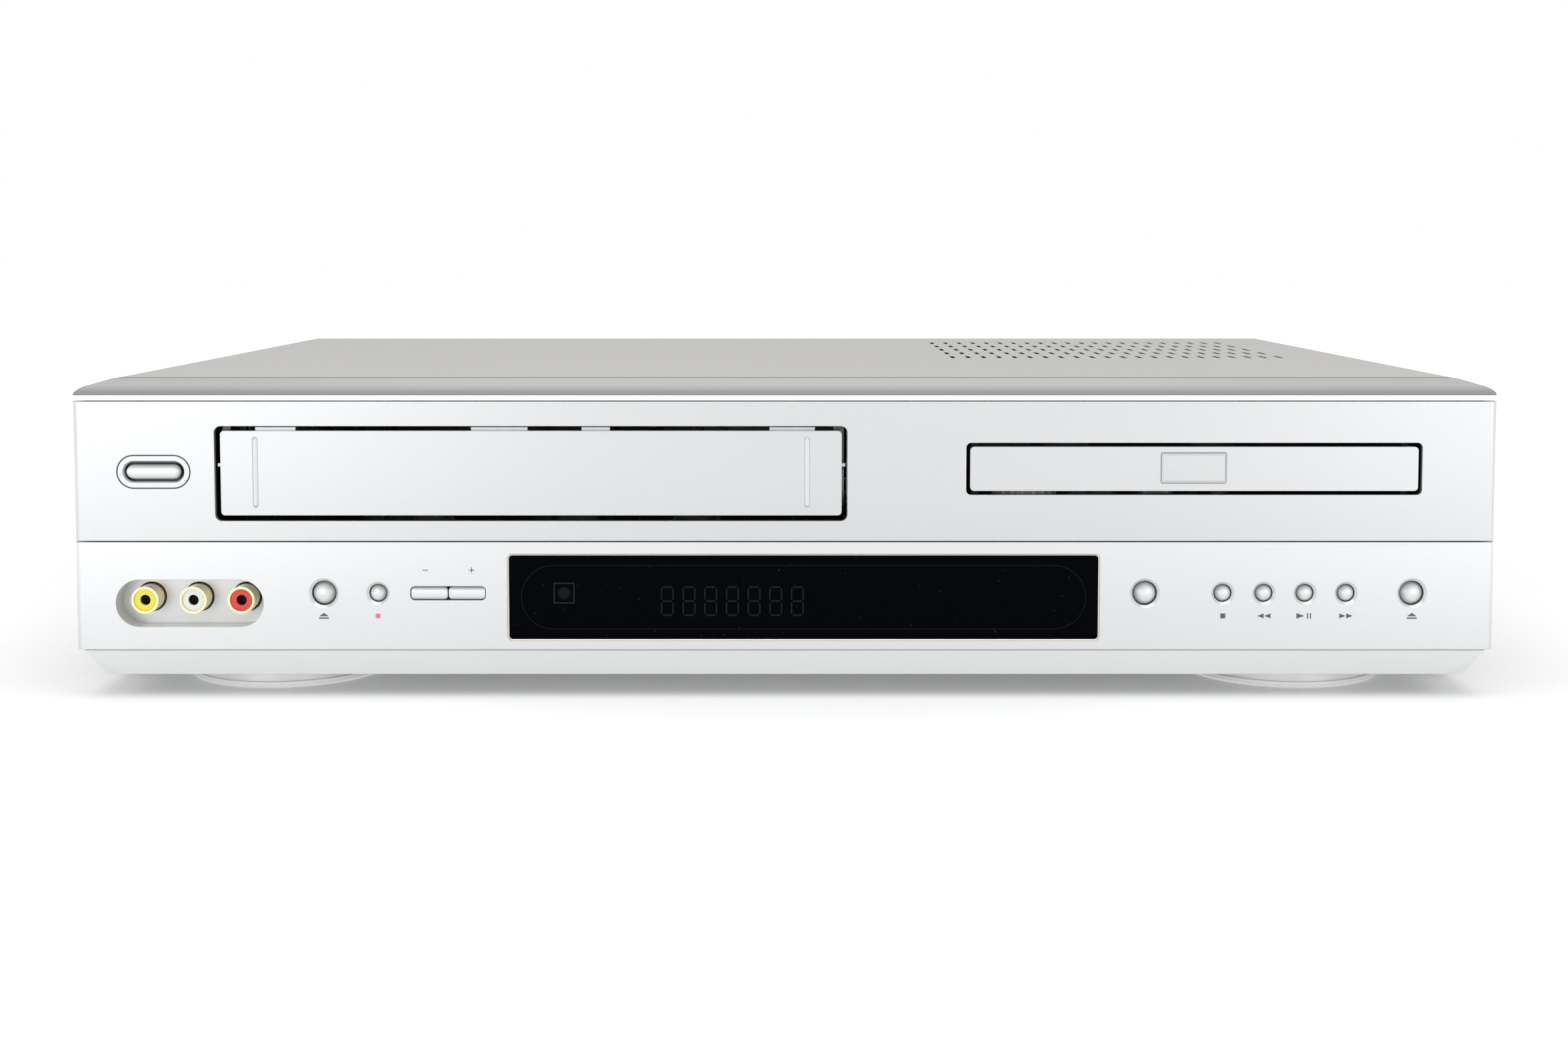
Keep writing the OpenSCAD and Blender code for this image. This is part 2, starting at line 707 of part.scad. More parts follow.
// Round key with a domed cap, a flange behind the fascia and a stem
module round_key(x, r) {
    dome_r = key_dome*r;
    cap_l = wall_y + flange_gap - key_face;
    translate([x, wall_y + flange_gap, key_z]) rotate([90, 0, 0]) intersection() {
        cylinder(h = cap_l, r = r);
        translate([0, 0, cap_l - dome_r]) sphere(dome_r, $fn = 96);
    }
    rod_y(x, key_z, r + 0.9, wall_y + flange_gap, wall_y + flange_gap + flange_t);
    key_stem(x, key_z);
}

module key_stem(x, z) {
    rod_y(x, z, 1.2, wall_y + flange_gap + flange_t, wall_y + flange_gap + flange_t + stem_l);
}

module channel_key(s) {
    x = channel_x + s*(channel_key_w + channel_split)/2;
    color(silver) {
        intersection() {
            across_y(key_face, wall_y + flange_gap) translate([x, key_z]) rounded_rect(channel_key_w, channel_key_h, 1);
            rod_x(key_face + channel_crown_r, key_z, channel_crown_r, x - channel_key_w, x + channel_key_w);
        }
        block([x - channel_key_w/2 - (s < 0 ? 0.8 : 0), wall_y + flange_gap, key_z - channel_key_h/2 - 0.9],
            [x + channel_key_w/2 + (s > 0 ? 0.8 : 0), wall_y + flange_gap + flange_t, key_z + channel_key_h/2 + 0.9]);
        key_stem(x, key_z);
    }
}

module power_key() {
    color(silver) {
        intersection() {
            across_y(key_face, wall_y + flange_gap) translate([power_x, power_z]) pill(power_key_w, power_key_h);
            rod_x(key_face + power_crown_r, power_z, power_crown_r, power_x - power_key_w, power_x + power_key_w);
        }
        across_y(wall_y + flange_gap, wall_y + flange_gap + flange_t) translate([power_x, power_z])
            pill(power_hole_w + 1.8, power_hole_h + 1.8);
        key_stem(power_x, power_z);
    }
}

module eject_key() { color(silver) round_key(eject_x, big_key_r); }
module record_key() { color(silver) round_key(record_x, small_key_r); }
module channel_down_key() { channel_key(-1); }
module channel_up_key() { channel_key(1); }
module source_key() { color(silver) round_key(source_x, big_key_r); }
module stop_key() { color(silver) round_key(stop_x, small_key_r); }
module rewind_key() { color(silver) round_key(stop_x + key_pitch, small_key_r); }
module play_key() { color(silver) round_key(stop_x + 2*key_pitch, small_key_r); }
module forward_key() { color(silver) round_key(stop_x + 3*key_pitch, small_key_r); }
module open_key() { color(silver) round_key(open_x, big_key_r); }

channel_key_x = [for (s = [-1, 1]) channel_x + s*(channel_key_w + channel_split)/2];
av_board_y = recess_floor + recess_wall + 10;

module front_boards() {
    color(board_green) {
        block([eject_x - 13, board_y, frame_bottom + 2.3], [207, board_y + board_t, 44.5]);
        block([power_x - 14, board_y, 60], [power_x + 14, board_y + board_t, 79]);
        block([recess_x - 24, av_board_y, 18], [recess_x + 24, av_board_y + board_t, 42]);
    }
}

// Tact switch: a square body on the board and a round plunger
module tact_switch(x, z) {
    block([x - 3, board_y - switch_body, z - 3], [x + 3, board_y, z + 3]);
    rod_y(x, z, 1.7, plunger_front, board_y - switch_body);
}

module key_switches() {
    color(dark) {
        for (x = concat(big_key_x, small_key_x, channel_key_x)) tact_switch(x, key_z);
        tact_switch(power_x, power_z);
    }
}

module display_tube() {
    color([0.2, 0.25, 0.25]) {
        block([window_x - 77, board_y - 5, window_z - 10], [window_x + 81, board_y - 1.2, window_z + 10]);
        block([window_x - 74, board_y - 1.2, window_z - 8], [window_x + 78, board_y, window_z + 8]);
    }
}

module ir_receiver() {
    color(steel) {
        block([window_x - 84, board_y - 4.5, window_z - 1.5], [window_x - 77.8, board_y, window_z + 5.1]);
        translate([window_x - 80.9, board_y - 4.5, window_z + 1.8]) rotate([90, 0, 0]) cylinder(h = 1, r1 = 2.4, r2 = 1.8);
    }
}

module av_socket_shells() {
    color(gold) for (x = jack_x) difference() {
        union() {
            rod_y(x, jack_z, jack_r, jack_face, recess_floor);
            rod_y(x, jack_z, jack_neck_r, recess_floor, recess_floor + recess_wall);
        }
        rod_y(x, jack_z, jack_r - jack_wall, jack_face - 1, recess_floor + recess_wall + 1);
    }
}

module av_socket_inserts() {
    shades = ["gold", "white", "red"];
    for (i = [0:2]) color(shades[i]) difference() {
        rod_y(jack_x[i], jack_z, jack_r - jack_wall - 0.02, jack_face + 0.5, recess_floor + recess_wall);
        rod_y(jack_x[i], jack_z, jack_hole_r, jack_face - 1, recess_floor - 1);
    }
}

module av_socket_block() {
    color(dark) for (x = jack_x)
        block([x - 5.5, recess_floor + recess_wall, jack_z - 7], [x + 5.5, av_board_y, jack_z + 6]);
}

module circuit_boards() {
    color(board_green) {
        block([board_left, board_front, rear_board_z],
            [board_break - board_split, rear_y - board_gap, rear_board_z + board_t]);
        block([board_break + board_split, power_board_front, rear_board_z],
            [board_right, rear_y - board_gap, rear_board_z + board_t]);
        block([drawer_x - disc_board_half, disc_board_front, rear_board_z],
            [drawer_x + disc_board_half, disc_board_back, rear_board_z + board_t]);
    }
    color(dark) {
        chip(scart_x[0], board_front + 18, 14);
        chip(scart_x[0] + 42, board_front + 24, 10);
        chip(scart_x[1] - 8, board_front + 20, 12);
        chip(drawer_x - 20, disc_y + 23, 14);
        chip(drawer_x + 18, disc_y + 63, 10);
    }
}

// Flat square chip on a main board, given by its middle and half its width
module chip(x, y, half) {
    block([x - half, y - half, rear_board_z + board_t], [x + half, y + half, rear_board_z + board_t + chip_h]);
}

chip_h = 2;

// Transformer, capacitors and finned heat sink, in front of the mains socket
module power_parts() {
    top = rear_board_z + board_t;
    parts_back = rear_y - 32;
    transformer_x = mains_x - 53;
    fin_pitch = 6.6;
    color("orange") block([transformer_x, parts_back - 28, top], [transformer_x + 34, parts_back, top + 26]);
    color(dark) {
        post(mains_x - 77, parts_back - 16, 11, top, top + 38);
        post(mains_x - 97, parts_back - 8, 6.5, top, top + 25);
        post(mains_x - 97, parts_back - 23, 5, top, top + 20);
    }
    color(steel) {
        block([mains_x - 7, parts_back - 30, top], [mains_x - 4, parts_back, top + 34]);
        for (i = [0:4])
            block([mains_x - 4, parts_back - 29 + fin_pitch*i, top + 2],
                [mains_x + 6, parts_back - 27.4 + fin_pitch*i, top + 34]);
    }
}

module mains_inlet() {
    color(dark) difference() {
        across_y(rear_y - 24, rear_y + 1.5) translate([mains_x, mains_z]) rounded_rect(22, 15, 1.8);
        across_y(rear_y - 10, rear_y + 3) translate([mains_x, mains_z]) pill(16.4, 8);
    }
    color(dark) block([mains_x - 11, rear_y - 24, rear_board_z + board_t], [mains_x + 11, rear_y - 3.2, mains_z - 7.5]);
    color(steel) for (s = [-1, 1]) rod_y(mains_x + s*4.2, mains_z, 1.2, rear_y - 10, rear_y - 0.5);
}

module rear_sockets() {
    color(dark) {
        for (x = scart_x) difference() {
            across_y(rear_y - 12, rear_y + 2.5) translate([x, scart_z]) rounded_rect(scart_w - 0.6, scart_h - 0.6, 1.8);
            difference() {
                across_y(rear_y - 9, rear_y + 3) translate([x, scart_z]) rounded_rect(45, 14, 1.5);
                block([x - 20, rear_y - 10, scart_z - 2], [x + 20, rear_y + 1, scart_z + 2]);
            }
        }
        for (x = scart_x)
            block([x - 24, rear_y - 12, rear_board_z + board_t], [x + 24, rear_y - 3.2, scart_z - scart_h/2 + 0.3]);
        block([av_x - 23, rear_y - 14, rear_board_z + board_t], [svideo_x + 8, rear_y - sheet_t, rear_jack_z + 8]);
    }
    color(gold) for (x = rear_jack_x) difference() {
        rod_y(x, rear_jack_z, rear_jack_r, rear_y - sheet_t, rear_y + socket_reach);
        rod_y(x, rear_jack_z, jack_hole_r, rear_y, rear_y + socket_reach + 1);
    }
    color(dark) difference() {
        rod_y(svideo_x, rear_jack_z, svideo_r, rear_y - sheet_t, rear_y + 2);
        rod_y(svideo_x, rear_jack_z, svideo_r - 1.5, rear_y - 0.5, rear_y + 3);
    }
}

module rf_module() {
    color(steel) {
        block([rf_x - 26, rear_y - 46, rear_board_z + board_t], [rf_x + 26, rear_y - sheet_t, rf_z[1] + 9]);
        for (z = rf_z) difference() {
            rod_y(rf_x, z, rf_r, rear_y - sheet_t, rear_y + socket_reach);
            rod_y(rf_x, z, rf_r - 0.8, rear_y, rear_y + socket_reach + 1);
        }
    }
}

// Disc loader

module disc_tray() {
    color([0.25, 0.25, 0.27]) tray_rack();
    color([0.25, 0.25, 0.27]) difference() {
        block([drawer_x - tray_half, tray_start, tray_z], [drawer_x + tray_half, tray_back, tray_z + tray_t]);
        post(drawer_x, disc_y, disc_d/2 + 0.8, tray_z + tray_t - 2, tray_z + tray_t + 1);
        post(drawer_x, disc_y, 41, tray_z + tray_t - 3, tray_z + tray_t + 1);
        block([drawer_x - 18, disc_y, tray_z - 1], [drawer_x + 18, disc_y + 62, tray_z + tray_t + 1]);
        post(drawer_x, disc_y, 18, tray_z - 1, tray_z + tray_t + 1);
    }
}

module loader_frame() {
    color(dark) {
        difference() {
            block([drawer_x - loader_half, loader_y, loader_floor - 2], [drawer_x + loader_half, loader_back, loader_floor]);
            block([drawer_x - 44, disc_y - 29, loader_floor - 3], [drawer_x + 44, disc_y + 77, loader_floor + 1]);
        }
        for (s = [-1, 1]) translate([drawer_x, 0, 0]) scale_side(s) {
            block([loader_half - loader_wall, loader_y, loader_floor], [loader_half, loader_back, loader_top]);
            block([tray_half - 4, loader_y, tray_z - 2], [loader_half - loader_wall, loader_back, tray_z - 0.2]);
            for (y = [loader_y + 4, loader_y + 60, loader_y + 118])
                block([tray_half - 2.6, y, tray_z + tray_t + 0.2], [loader_half - loader_wall, y + 12, tray_z + tray_t + 1.6]);
            for (y = [front_y + 30, loader_back - 12])
                post(loader_half - 5, y, 4, floor_z, loader_floor - 2);
        }
        block([drawer_x - loader_half, loader_back, loader_floor - 2], [drawer_x + loader_half, loader_back + 2, loader_top]);
        post(gear_x, gear_y, gear_shaft_r, loader_floor - 2, tray_z - 0.6);
    }
}

// Drawer drive: an 18-tooth pinion on the loader meets a rack below the tray's edge
gear_teeth = 18;
tooth_module = 1;
pressure_angle = 20;
backlash = 0.16;
gear_r = gear_teeth*tooth_module/2;
gear_x = drawer_x - 49.5;
gear_y = front_y + 16;
gear_shaft_r = 2;
pinion_lip = 0.4;
rack_z = drawer_z - drawer_h/2 - 1;
rack_w = 3.2;
tooth_pitch = PI*tooth_module;
rack_teeth = ceil(drawer_travel/tooth_pitch) + 4;

// Involute of an angle in degrees, in degrees
function involute(a) = tan(a)*180/PI - a;

// Half of a gear tooth's angle at radius r, outside the base circle
function half_tooth(r) =
    (PI*tooth_module/2 - backlash/2)/gear_r*90/PI
    + involute(pressure_angle) - involute(acos(gear_r*cos(pressure_angle)/r));

// Outline of the pinion: each tooth goes root, base circle, two involute flanks to the tip, and back
function gear_outline(base = gear_r*cos(pressure_angle), root = gear_r - 1.25*tooth_module,
                      tip = gear_r + tooth_module, steps = 4) =
    [for (i = [0:gear_teeth - 1]) let (mid = 360*i/gear_teeth)
        each concat(
            [[root*cos(mid - half_tooth(base)), root*sin(mid - half_tooth(base))]],
            [for (k = [0:steps]) let (r = base + (tip - base)*k/steps)
                [r*cos(mid - half_tooth(r)), r*sin(mid - half_tooth(r))]],
            [for (k = [steps:-1:0]) let (r = base + (tip - base)*k/steps)
                [r*cos(mid + half_tooth(r)), r*sin(mid + half_tooth(r))]],
            [[root*cos(mid + half_tooth(base)), root*sin(mid + half_tooth(base))]])];

module tray_gear() {
    color("white") translate([gear_x, gear_y, 0]) difference() {
        union() {
            translate([0, 0, loader_floor + 0.2]) cylinder(h = 1.4, r = gear_r + tooth_module + pinion_lip);
            translate([0, 0, loader_floor + 1.6]) linear_extrude(tray_z - 0.4 - loader_floor - 1.6) polygon(gear_outline());
        }
        translate([0, 0, loader_floor - 1]) cylinder(h = tray_z, r = gear_shaft_r + shaft_gap);
    }
}

// Rack along Y, its teeth towards -X, with a gap between two teeth beside the pinion
module tray_rack() {
    reach = tooth_module*tan(pressure_angle);
    half = (tooth_pitch - backlash)/4;
    pitch_x = gear_x + gear_r;
    first_y = gear_y - 2.5*tooth_pitch;
    translate([0, 0, rack_z]) linear_extrude(tray_z + 1 - rack_z) {
        for (i = [0:rack_teeth - 1]) translate([pitch_x, first_y + i*tooth_pitch])
            polygon([[-tooth_module, -half + reach], [-tooth_module, half - reach],
                [1.25*tooth_module, half + 1.25*reach], [1.25*tooth_module, -half - 1.25*reach]]);
        translate([pitch_x + 1.25*tooth_module - eps, first_y - tooth_pitch/2])
            square([rack_w, rack_teeth*tooth_pitch]);
    }
}

module traverse() {
    top = loader_floor + traverse_t;
    color(steel) {
        difference() {
            block([drawer_x - 50, disc_y - 35, loader_floor], [drawer_x + 50, disc_y + 83, top]);
            block([drawer_x - 18.5, disc_y + 14, loader_floor - 1], [drawer_x + 18.5, disc_y + 72, top + 1]);
        }
        for (s = [-1, 1]) {
            rod_y(drawer_x + s*rod_x, rod_z, rod_r, disc_y + 7, disc_y + 77);
            for (y = [disc_y + 5, disc_y + 75])
                block([drawer_x + s*rod_x - 3, y, top], [drawer_x + s*rod_x + 3, y + 4, rod_z + 2.5]);
        }
    }
}

module turntable() {
    color("white") {
        post(drawer_x, disc_y, 12.5, loader_floor + 6.4, tray_z - 1.2);
        post(drawer_x, disc_y, 7.3, tray_z - 1.2, tray_z - 0.4);
        post(drawer_x, disc_y, spindle_r, loader_floor + 2.5, loader_floor + 6.4);
    }
}

module pickup() {
    color(dark) difference() {
        union() {
            block([drawer_x - rod_x - 5, pickup_y - 11, rod_z - 3], [drawer_x + rod_x + 5, pickup_y + 11, rod_z + 3.5]);
            post(drawer_x, pickup_y, 5, rod_z + 3.5, rod_z + 5);
        }
        for (s = [-1, 1]) rod_y(drawer_x + s*rod_x, rod_z, rod_r + shaft_gap, pickup_y - 12, pickup_y + 12);
    }
}

module clamp_bridge() {
    color(steel) difference() {
        block([drawer_x - loader_half, disc_y - 13, loader_top], [drawer_x + loader_half, disc_y + 13, loader_top + bridge_t]);
        post(drawer_x, disc_y, 6, loader_top - 1, loader_top + bridge_t + 1);
    }
}

module disc_clamp() {
    color(dark) {
        post(drawer_x, disc_y, 15, tray_z + tray_t + 2.3, loader_top - 0.8);
        post(drawer_x, disc_y, 5.7, loader_top - 0.8, loader_top + bridge_t + 0.3);
        post(drawer_x, disc_y, 9, loader_top + bridge_t + 0.3, loader_top + bridge_t + 1.6);
    }
}

module drive_motors() {
    color(steel) {
        difference() {
            post(drawer_x, disc_y, 12.8, loader_floor + traverse_t, loader_floor + 6);
            post(drawer_x, disc_y, spindle_r + shaft_gap, loader_floor + 2.2, loader_floor + 7);
        }
        post(drawer_x + 48, front_y + 26, 10, loader_floor - 14, loader_floor - 2);
        rod_y(slot_x - 80, deck_z + 12, 12, deck_back - 34, deck_back - 6);
    }
}

// Tape deck

module deck_chassis() {
    color(steel) {
        difference() {
            block([slot_x - deck_half, deck_front, deck_z - deck_t], [slot_x + deck_half, deck_back, deck_z]);
            post(capstan_x, capstan_y, 4, deck_z - 3, deck_z + 1);
            for (s = [-1, 1]) guide_place(s) translate([-2.2, -2.2, -3]) cube([4.4, guide_travel + 4.4, 4]);
        }
        difference() {
            post(capstan_x, capstan_y, 4, deck_z - 6, deck_z + 3.5);
            post(capstan_x, capstan_y, pin_r + shaft_gap, deck_z - 7, deck_z + 4);
        }
        for (s = [-1, 1]) {
            post(slot_x + s*reel_pitch/2, reel_y, pin_r, deck_z, deck_z + 18);
            for (y = [deck_front + 6, deck_back - 6]) post(slot_x + s*(deck_half - 6), y, 4, floor_z, deck_z - deck_t);
            translate([slot_x, 0, 0]) scale_side(s) side_plate();
        }
        post(arm_x, arm_y, 2, deck_z, deck_z + 9);
    }
}

// Upright plate with the straight slot that the carriage pins run in
module side_plate() {
    difference() {
        block([side_x, deck_front, deck_z + seat_gap], [side_x + side_t, side_back, side_top]);
        across_x(side_x - 1, side_x + side_t + 1) {
            low = carriage_pin_y[0] - pin_r - 0.3;
            high = carriage_pin_y[1] + carriage_travel + pin_r + 0.3;
            translate([low, carriage_pin_z - pin_r - pin_gap]) square([high - low, 2*(pin_r + pin_gap)]);
        }
        across_x(side_x - 1, side_x + side_t + 1)
            translate([deck_front + 56, 50]) rounded_rect(74, 26, 6);
    }
}

module loading_carriage() {
    color([0.6, 0.62, 0.64]) {
        for (s = [-1, 1]) translate([slot_x, 0, 0]) scale_side(s) {
            difference() {
                block([carriage_x, carriage_front, carriage_bottom], [carriage_x + carriage_t, carriage_back, bar_z + 1.2]);
                for (y = holder_pin_y)
                    block([carriage_x - 1, y - pin_r - pin_gap, holder_pin_z - holder_drop - pin_r - 0.3],
                        [carriage_x + carriage_t + 1, y + pin_r + pin_gap, holder_pin_z + pin_r + 0.3]);
            }
            for (y = carriage_pin_y) rod_x(y, carriage_pin_z, pin_r, carriage_x + carriage_t, side_x + side_t + 0.2);
        }
        block([slot_x - carriage_x + seat_gap, carriage_front + 12, bar_z],
            [slot_x + carriage_x - seat_gap, carriage_front + 34, bar_z + 1.2]);
    }
}

module cassette_holder() {
    top = holder_z + holder_h;
    color(steel) {
        for (s = [-1, 1]) translate([slot_x, 0, 0]) scale_side(s) {
            block([holder_x, holder_front, holder_z - 1], [holder_x + holder_wall, holder_back, top + 1]);
            block([holder_x - holder_ledge, holder_front, holder_z - 1], [holder_x, holder_back, holder_z]);
            block([holder_x - holder_ledge, holder_back, holder_z - 1], [holder_x + holder_wall, holder_back + 1, holder_z + 9]);
            for (y = holder_pin_y) rod_x(y, holder_pin_z, pin_r, holder_x + holder_wall, carriage_x + carriage_t);
        }
        block([slot_x - holder_x + seat_gap, holder_front, top], [slot_x + holder_x - seat_gap, holder_back, top + 1]);
    }
}

// Leaning frame of the head drum
module drum_place() {
    translate([drum_x, drum_y, deck_z]) rotate([0, drum_tilt, 0]) children();
}

module lower_drum() {
    color(steel) difference() {
        union() {
            post(drum_x, drum_y, 25, deck_z, deck_z + 9);
            drum_place() translate([0, 0, 4]) cylinder(h = lower_drum_h - 4, r = drum_r, $fn = 96);
        }
        drum_place() translate([0, 0, 10]) cylinder(h = lower_drum_h, r = 2.5 + shaft_gap);
    }
}

module upper_drum() {
    color([0.8, 0.81, 0.83]) drum_place() {
        translate([0, 0, lower_drum_h + 0.3]) cylinder(h = drum_h - lower_drum_h - 0.3, r = drum_r, $fn = 96);
        translate([0, 0, 10.3]) cylinder(h = lower_drum_h - 10, r = 2.5);
    }
}

module capstan() {
    color(steel) {
        post(capstan_x, capstan_y, pin_r, deck_z - 6.3, deck_z + 32);
        post(capstan_x, capstan_y, 26, deck_z - 12, deck_z - 6.3);
    }
}

module pinch_arm() {
    color(steel) difference() {
        union() {
            post(arm_x, arm_y, 4, deck_z + 0.2, deck_z + 8);
            post(roller_x, roller_y, 4, deck_z + 4, deck_z + 8);
            translate([arm_x, arm_y, deck_z + 4]) rotate([0, 0, arm_rest]) translate([0, -2.5, 0]) cube([arm_l, 5, 4]);
            post(roller_x, roller_y, 1.2, deck_z + 8, deck_z + 29);
        }
        post(arm_x, arm_y, 2 + shaft_gap, deck_z, deck_z + 10);
    }
}

module pinch_roller() {
    color(dark) difference() {
        post(roller_x, roller_y, 6, deck_z + 8.3, deck_z + 28);
        post(roller_x, roller_y, 1.2 + shaft_gap, deck_z + 8, deck_z + 29);
    }
}

// Reel table: a toothed flange and a splined hub on the deck's spindle
module reel_table(s) {
    translate([slot_x + s*reel_pitch/2, reel_y, deck_z]) difference() {
        union() {
            translate([0, 0, 0.3]) cylinder(h = 5, r = reel_r);
            translate([0, 0, 5.3]) cylinder(h = 5, r = hub_r + 4);
            translate([0, 0, 10.3]) cylinder(h = 11, r = hub_r);
            for (i = [0:5]) rotate([0, 0, 60*i]) translate([hub_r - 1, -0.8, 10.3]) cube([2.6, 1.6, 8]);
        }
        translate([0, 0, -1]) cylinder(h = 20, r = pin_r + shaft_gap);
    }
}

module supply_reel() { color("white") reel_table(-1); }
module takeup_reel() { color("white") reel_table(1); }

// Start of a tape guide's slot, turned along the slot
module guide_place(s) {
    translate([s < 0 ? supply_guide_x : takeup_guide_x, guide_y, deck_z]) rotate([0, 0, -s*guide_angle]) children();
}

module tape_guide(s) {
    color(steel) guide_place(s) {
        translate([-6, -5, 0.2]) cube([12, 10, 3.8]);
        translate([0, 0, -deck_t - 0.2]) cylinder(h = deck_t + 1, r = 2.1);
        translate([0, 0, -deck_t - 1.7]) cylinder(h = 1.5, r = 4);
        translate([0, 0, 4]) cylinder(h = 26, r = 2);
        for (z = [8, 25]) translate([0, 0, z]) cylinder(h = 1.5, r = 3);
    }
}

module supply_guide() { tape_guide(-1); }
module takeup_guide() { tape_guide(1); }

head_h = 26;

module tape_heads() {
    color(steel) {
        block([slot_x - 67, deck_front + 98, deck_z], [slot_x - 57, deck_front + 108, deck_z + head_h]);
        block([slot_x + 46, deck_front + 123, deck_z], [slot_x + 58, deck_front + 133, deck_z + head_h]);
    }
}

top_cover();
bottom_chassis();
rear_panel();
front_frame();
brow();
fascia_rim();
upper_fascia();
lower_fascia();
plinth();
display_window();
feet();
foot_pads();
case_screws();
cassette_door();
tray_front();
power_key();
eject_key();
record_key();
channel_down_key();
channel_up_key();
source_key();
stop_key();
rewind_key();
play_key();
forward_key();
open_key();
front_boards();
key_switches();
display_tube();
ir_receiver();
av_socket_shells();
av_socket_inserts();
av_socket_block();
circuit_boards();
power_parts();
mains_inlet();
rear_sockets();
rf_module();
drive_motors();
disc_tray();
loader_frame();
traverse();
turntable();
pickup();
clamp_bridge();
disc_clamp();
tray_gear();
deck_chassis();
loading_carriage();
cassette_holder();
lower_drum();
upper_drum();
capstan();
pinch_arm();
pinch_roller();
supply_reel();
takeup_reel();
supply_guide();
takeup_guide();
tape_heads();
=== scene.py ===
"""Finishes, printed symbols, trim, sockets, screws and studio for a disc and video cassette player."""

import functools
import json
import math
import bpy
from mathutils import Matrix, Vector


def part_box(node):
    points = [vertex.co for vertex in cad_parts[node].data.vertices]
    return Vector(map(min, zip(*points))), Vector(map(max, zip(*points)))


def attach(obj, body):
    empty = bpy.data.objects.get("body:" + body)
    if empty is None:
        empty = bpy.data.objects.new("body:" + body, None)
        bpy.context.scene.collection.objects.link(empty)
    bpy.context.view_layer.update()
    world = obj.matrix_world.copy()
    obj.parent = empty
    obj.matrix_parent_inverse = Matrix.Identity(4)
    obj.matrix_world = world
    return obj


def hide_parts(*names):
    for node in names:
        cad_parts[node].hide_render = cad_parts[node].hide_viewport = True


bl_info = {
    "name": "Disc and Cassette Player",
    "version": (1, 0, 0),
    "blender": (4, 5, 0),
    "location": "3D Viewport > Sidebar > Player",
    "description": "Dresses the packed player with its finishes, small parts and a studio",
    "category": "Object",
}

import bpy
import numpy as np
from bpy.props import FloatProperty, FloatVectorProperty, IntProperty, PointerProperty
from bpy.types import Operator, Panel, PropertyGroup
from mathutils import Vector

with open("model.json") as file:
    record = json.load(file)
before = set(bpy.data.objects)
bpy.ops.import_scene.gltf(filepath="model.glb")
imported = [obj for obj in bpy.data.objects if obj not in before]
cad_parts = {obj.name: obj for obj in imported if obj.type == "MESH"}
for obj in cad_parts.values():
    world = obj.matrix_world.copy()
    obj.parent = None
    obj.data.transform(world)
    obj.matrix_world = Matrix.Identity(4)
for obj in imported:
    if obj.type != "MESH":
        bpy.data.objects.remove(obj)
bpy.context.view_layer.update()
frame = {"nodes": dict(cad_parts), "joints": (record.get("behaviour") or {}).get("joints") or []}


# Where things are, in millimetres

MM = 1000  # millimetres in a metre


def corners(node):
    """Lowest and highest corner of a node, in millimetres."""
    return [np.array(corner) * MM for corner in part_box(node)]


def middle(node):
    """Middle of a node's box, in millimetres."""
    low, high = corners(node)
    return (low + high) / 2


def jack_centres():
    """Middles (x, z) of the three phono sockets in front, whose shells fill one box from end to end."""
    low, high = corners("av_socket_shells")
    x, _, z = (low + high) / 2
    pitch = ((high[0] - low[0]) - (high[2] - low[2])) / 2
    return [(x + i * pitch, z) for i in (-1, 0, 1)]


FRONT = corners("upper_fascia")[0][1]
REAR = corners("rear_panel")[1][1]
OPENINGS_END = 211  # every opening of the front lies nearer the middle than this

# The rear sockets stand in one row: aerial, two scart, three phono and S-video
ROW_Z = 30
AERIAL_X = middle("rf_module")[0]
SCART_X = (AERIAL_X + 116, AERIAL_X + 56)
PHONO_X = [AERIAL_X + 172 + i * 15 for i in (-1, 0, 1)]
SVIDEO_X = AERIAL_X + 204

# Each key's outline: how far its level middle line runs to each side, and the radius round that line
LARGE_ROUND = (0.0, 3.5)
SMALL_ROUND = (0.0, 2.5)
CHANNEL_BAR = (5.0, 1.9)
KEYS = {
    "power": (6.0, 2.2),
    "eject": LARGE_ROUND,
    "record": SMALL_ROUND,
    "channel_down": CHANNEL_BAR,
    "channel_up": CHANNEL_BAR,
    "source": LARGE_ROUND,
    "stop": SMALL_ROUND,
    "rewind": SMALL_ROUND,
    "play": SMALL_ROUND,
    "forward": SMALL_ROUND,
    "open": LARGE_ROUND,
}


# Sizes and colours that a user may change


def colour(name, default, words):
    """A colour property, in linear light."""
    return FloatVectorProperty(
        name=name, description=words, default=default, size=3, min=0, max=1, subtype="COLOR"
    )


def length(name, default, words):
    """A length property, given in millimetres and kept in metres."""
    return FloatProperty(
        name=name, description=words, default=default / MM, min=0, unit="LENGTH", precision=5
    )


